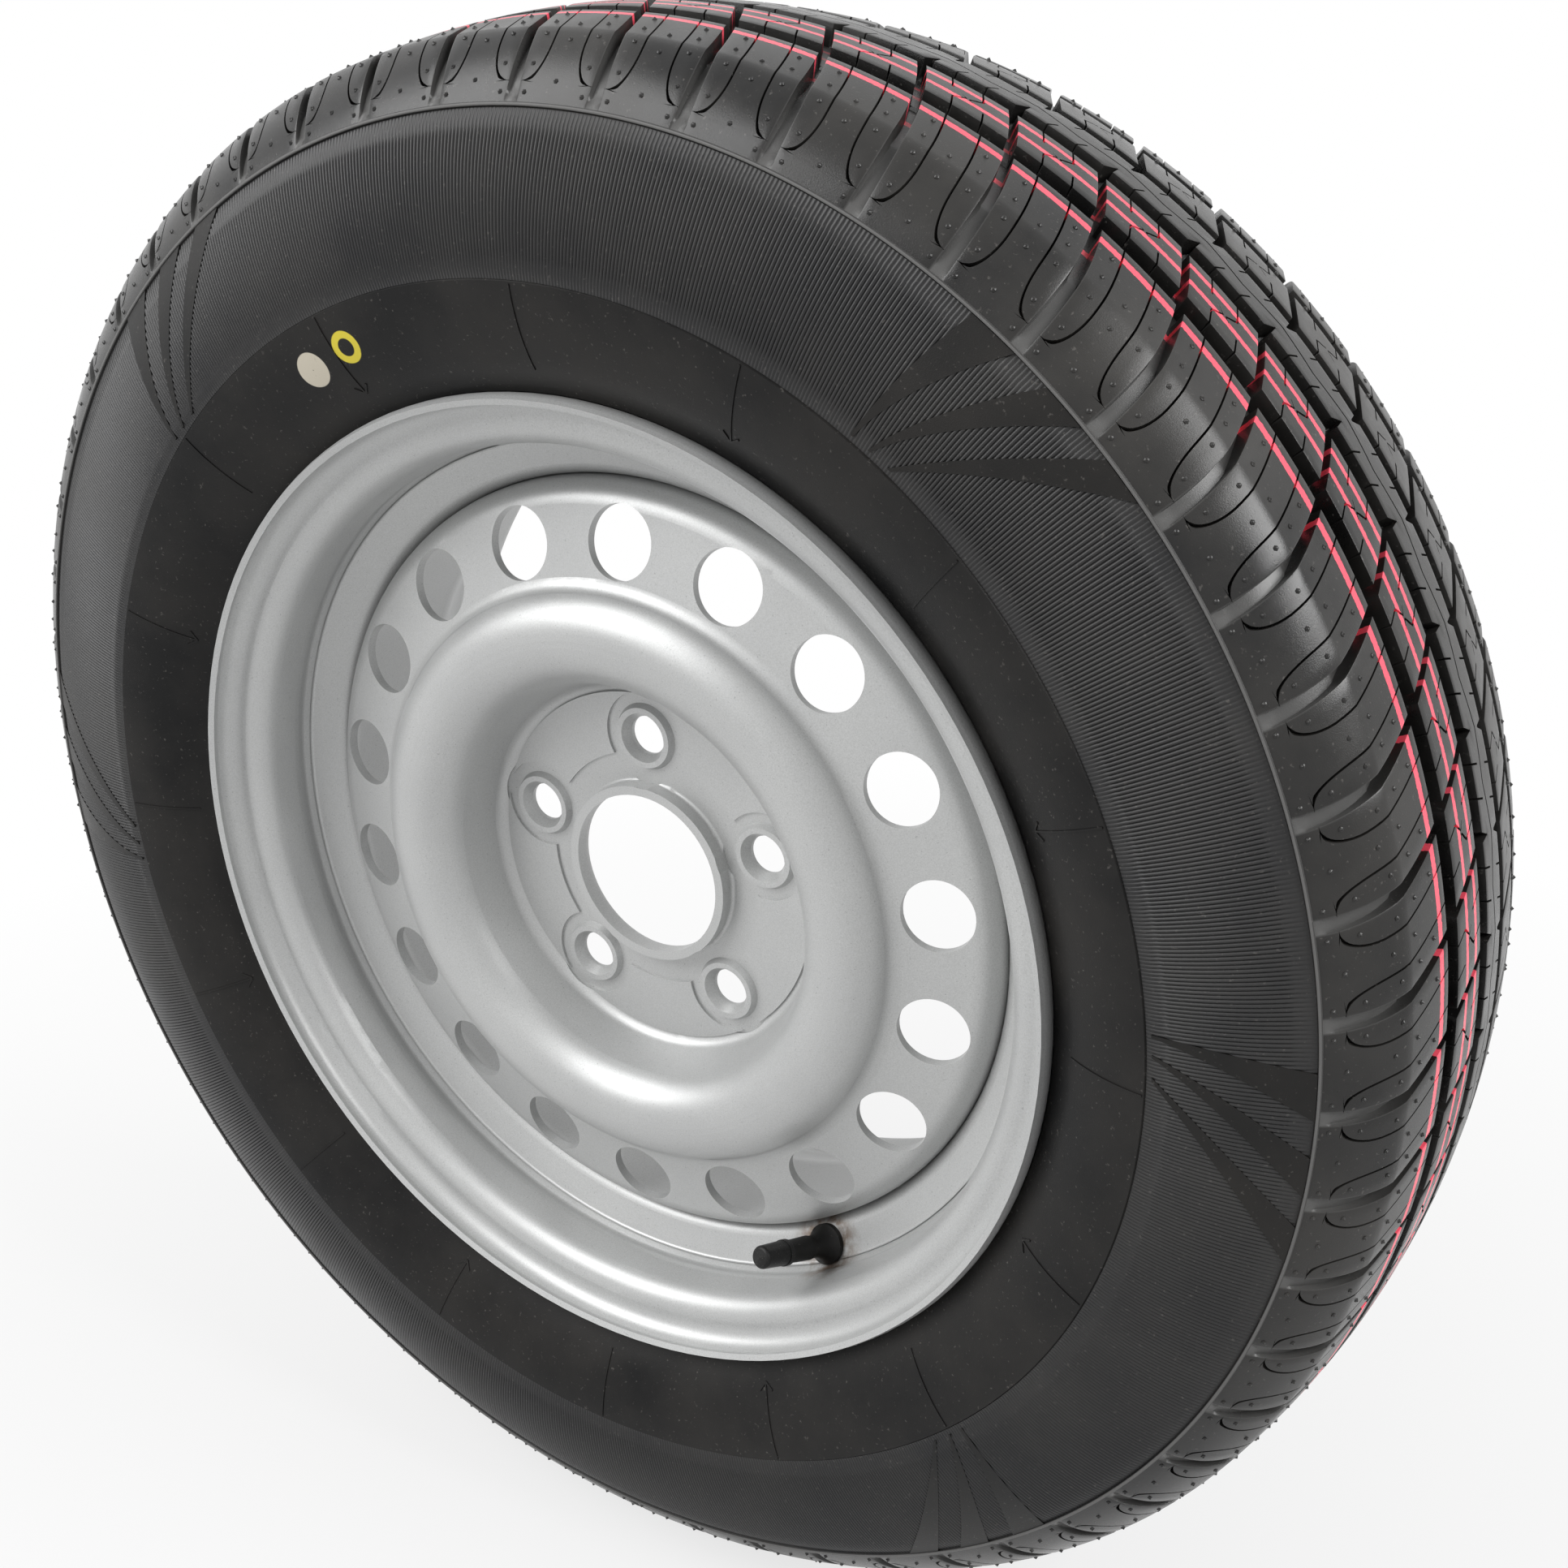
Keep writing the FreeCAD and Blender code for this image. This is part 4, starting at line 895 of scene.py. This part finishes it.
def silver_paint(name, rust_place=None):
    """Satin metallic paint with fine flake and dark specks, and rust round a place where one is given."""
    material, tree, shader = new_material(name, Metallic=0.4)
    mottle = placed(tree, MOTTLE, Stain_Scale=9.0, Speck_Scale=1500.0, Grain_Scale=5200.0)
    colour = mix_colour(tree, mottle["Stain"], (0.5, 0.505, 0.505), (0.57, 0.575, 0.57))
    flake = remap(tree, placed(tree, MOTTLE, Grain_Scale=1900.0)["Grain"], 0.35, 0.65)
    colour = mix_colour(tree, math_node(tree, "MULTIPLY", flake, 0.5), colour, PAINT_SHADE)
    colour = mix_colour(tree, math_node(tree, "MULTIPLY", mottle["Speck"], 0.5), colour, PAINT_SPECK)
    if rust_place is not None:
        ring = placed(tree, SPOT, Centre=tuple(rust_place), Outer=RUST_SIZE, Blur=RUST_BLUR)["Mask"]
        blotch = remap(tree, placed(tree, MOTTLE, Stain_Scale=160.0)["Stain"], 0.1, 0.7)
        colour = mix_colour(tree, math_node(tree, "MULTIPLY", ring, blotch), colour, RUST)
    wire(tree, colour, shader.inputs["Base Color"])
    wire(tree, remap(tree, mottle["Stain"], 0.0, 1.0, 0.36, 0.44), shader.inputs["Roughness"])
    bump(tree, shader, mottle["Grain"], 0.18, 0.0002)
    return material


def turned_metal(name, tone, deep):
    """Turned metal with a slow tarnish."""
    material, tree, shader = new_material(name, Metallic=1.0)
    mottle = placed(tree, MOTTLE, Stain_Scale=240.0, Grain_Scale=6000.0)
    wire(tree, mix_colour(tree, mottle["Stain"], tone, deep), shader.inputs["Base Color"])
    wire(tree, remap(tree, mottle["Grain"], 0.3, 0.7, 0.28, 0.42), shader.inputs["Roughness"])
    return material


def cap_plastic():
    """Moulded black plastic with faint dust."""
    material, tree, shader = new_material("cap_plastic", Specular_IOR_Level=0.25)
    mottle = placed(tree, MOTTLE, Stain_Scale=300.0, Speck_Scale=2400.0, Grain_Scale=4000.0)
    colour = mix_colour(tree, mottle["Stain"], (0.004, 0.004, 0.004), (0.009, 0.009, 0.009))
    dust = math_node(tree, "MULTIPLY", mottle["Speck"], 0.5)
    wire(tree, mix_colour(tree, dust, colour, (0.3, 0.29, 0.27)), shader.inputs["Base Color"])
    wire(tree, remap(tree, mottle["Grain"], 0.3, 0.7, 0.36, 0.5), shader.inputs["Roughness"])
    bump(tree, shader, mottle["Grain"], 0.2, 0.0001)
    return material


# Pieces

TREAD = tread_rubber()
WALL = wall_rubber()
RIBBED = rubber("ribbed_rubber", (0.016, 0.016, 0.017), (0.034, 0.033, 0.032), (0.34, 0.48), 0.32)[0]
FAN = rubber("fan_rubber", (0.005, 0.005, 0.005), (0.016, 0.0145, 0.013), (0.3, 0.45), 0.22)[0]
RIM_PAINT = silver_paint("rim_paint", VALVE_FOOT * MM)
DISC_PAINT = silver_paint("disc_paint")
BRASS = turned_metal("stem_brass", (0.75, 0.56, 0.26), (0.5, 0.36, 0.16))
SPRING = turned_metal("spring_wire", (0.6, 0.6, 0.6), (0.42, 0.42, 0.42))
VALVE = rubber("valve_rubber", (0.004, 0.004, 0.004), (0.012, 0.0115, 0.011), (0.4, 0.55), 0.2)[0]
SEAL = rubber("seal_rubber", (0.02, 0.02, 0.02), (0.035, 0.035, 0.035), (0.5, 0.6), 0.3)[0]
CAP = cap_plastic()

points, quads, channel = tread_band(outer_rows())
outer_tread = put_piece("tread_outer", points, quads, "wheel", "tyre_rubber", TREAD, channel=channel)
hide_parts("tyre")
points, quads, channel = tread_band(inner_rows())
put_piece("tread_inner", points, quads, "wheel", "tyre_rubber", TREAD, channel=channel)
put_piece("tyre_casing", *casing(), "wheel", "tyre_rubber", WALL)
for side, name in ((-1, "outer"), (1, "inner")):
    put_piece("rib_band_" + name, *rib_band(side), "wheel", "tyre_rubber", RIBBED, RIB_CREASE_DEG)
    put_piece("fan_leaves_" + name, *fan_leaves(side), "wheel", "tyre_rubber", FAN)
    put_piece("wall_marks_" + name, *wall_lines(wall_marks(), side), "wheel", "tyre_rubber", WALL)
put_piece("vent_stubs", *vent_stubs(stub_places()), "wheel", "tyre_rubber", TREAD)

spring = put_piece("valve_spring", *valve_spring(), "wheel", "spring_steel", SPRING)
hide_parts("core_spring")
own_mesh(spring)

FINISH = {
    "wheel_rim": RIM_PAINT, "wheel_disc": DISC_PAINT, "disc_welds": DISC_PAINT,
    "valve_body": VALVE, "valve_stem": BRASS, "valve_cap": CAP, "cap_seal": SEAL,
    "core_plug": BRASS, "core_barrel": BRASS, "core_barrel_seal": SEAL,
    "core_pin": BRASS, "core_cup": BRASS, "core_cup_seal": SEAL,
}
for node_name, finish in FINISH.items():
    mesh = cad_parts[node_name].data
    mesh.materials.clear()
    mesh.materials.append(finish)


# Floor, light and camera, in metres

FLOOR_HALF = 60.0
FLOOR_WHITENS = (0.35, 0.9)
FLOOR_WHITE = (0.75, 1.0)
ROOM_LIGHT = 0.22


def seen_directly(tree):
    """One for rays from the camera, off gloss or through glass, and nought for rays that carry light."""
    path = tree.nodes.new("ShaderNodeLightPath")
    seen = math_node(tree, "MAXIMUM", path.outputs["Is Camera Ray"], path.outputs["Is Glossy Ray"])
    return math_node(tree, "MAXIMUM", seen, path.outputs["Is Transmission Ray"])


def floor_white():
    """Pale floor that whitens with its distance from the object, where it is seen directly."""
    material, tree, shader = new_material(
        "floor_pale", Base_Color=(0.7, 0.7, 0.7, 1.0), Roughness=0.9, Specular_IOR_Level=0.0)
    glow = tree.nodes.new("ShaderNodeEmission")
    blend = tree.nodes.new("ShaderNodeMixShader")
    distance = tree.nodes.new("ShaderNodeVectorMath")
    distance.operation = "LENGTH"
    wire(tree, tree.nodes.new("ShaderNodeTexCoord").outputs["Object"], distance.inputs[0])
    white = remap(tree, distance.outputs["Value"], *FLOOR_WHITENS, *FLOOR_WHITE)
    wire(tree, math_node(tree, "MULTIPLY", white, seen_directly(tree)), blend.inputs["Fac"])
    wire(tree, shader.outputs["BSDF"], blend.inputs[1])
    wire(tree, glow.outputs["Emission"], blend.inputs[2])
    wire(tree, blend.outputs["Shader"], tree.nodes["Material Output"].inputs["Surface"])
    return material


def pale_floor():
    """A wide pale floor at the tyre's foot, which keeps the shadow."""
    low = -TYRE_R * MM
    mesh = bpy.data.meshes.new("floor")
    corners = [(x * FLOOR_HALF, y * FLOOR_HALF, low) for x, y in ((-1, -1), (1, -1), (1, 1), (-1, 1))]
    mesh.from_pydata(corners, [], [(0, 1, 2, 3)])
    mesh.materials.append(floor_white())
    floor = bpy.data.objects.new("floor", mesh)
    bpy.context.scene.collection.objects.link(floor)


def area_light(name, place, size, power):
    """A square soft light at a place, facing the wheel's middle."""
    lamp = bpy.data.lights.new(name, "AREA")
    lamp.size = size
    lamp.energy = power
    light = bpy.data.objects.new(name, lamp)
    run = -np.array(place)
    run /= np.linalg.norm(run)
    side = np.cross(run, (0.0, 0.0, 1.0))
    side /= np.linalg.norm(side)
    up = np.cross(side, run)
    rows = [(side[i], up[i], -run[i], place[i]) for i in range(3)]
    light.matrix_world = Matrix((*rows, (0, 0, 0, 1)))
    bpy.context.scene.collection.objects.link(light)


def white_world():
    """Plain light from all round, white where the camera, gloss or glass sees it."""
    world = bpy.data.worlds.new("studio")
    world.use_nodes = True
    tree = world.node_tree
    back = tree.nodes["Background"]
    back.inputs["Color"].default_value = (1.0, 1.0, 1.0, 1.0)
    wire(tree, remap(tree, seen_directly(tree), 0.0, 1.0, ROOM_LIGHT, 1.0), back.inputs["Strength"])
    bpy.context.scene.world = world


def photo_camera():
    """The camera where the photograph was taken from, with the photograph's own framing."""
    forward = np.array([-0.47623, 0.77224, -0.42054])
    right = np.array([0.85566, 0.51718, -0.01927])
    up = np.cross(right, forward)
    place = np.array([427.56, -583.07, 326.08]) * MM
    data = bpy.data.cameras.new("camera")
    data.sensor_width = 36.0
    data.lens = 44.40
    data.shift_x = -0.0393
    data.shift_y = 0.0434
    data.clip_start = 0.01
    camera = bpy.data.objects.new("camera", data)
    rows = [(right[i], up[i], -forward[i], place[i]) for i in range(3)]
    camera.matrix_world = Matrix((*rows, (0, 0, 0, 1)))
    bpy.context.scene.collection.objects.link(camera)
    bpy.context.scene.camera = camera


pale_floor()
area_light("key_light", (-1.15, -1.25, 1.45), size=1.7, power=48.0)
area_light("tread_light", (1.85, 0.1, 1.3), size=1.2, power=48.0)
white_world()
photo_camera()
bpy.context.scene.view_settings.view_transform = "Standard"
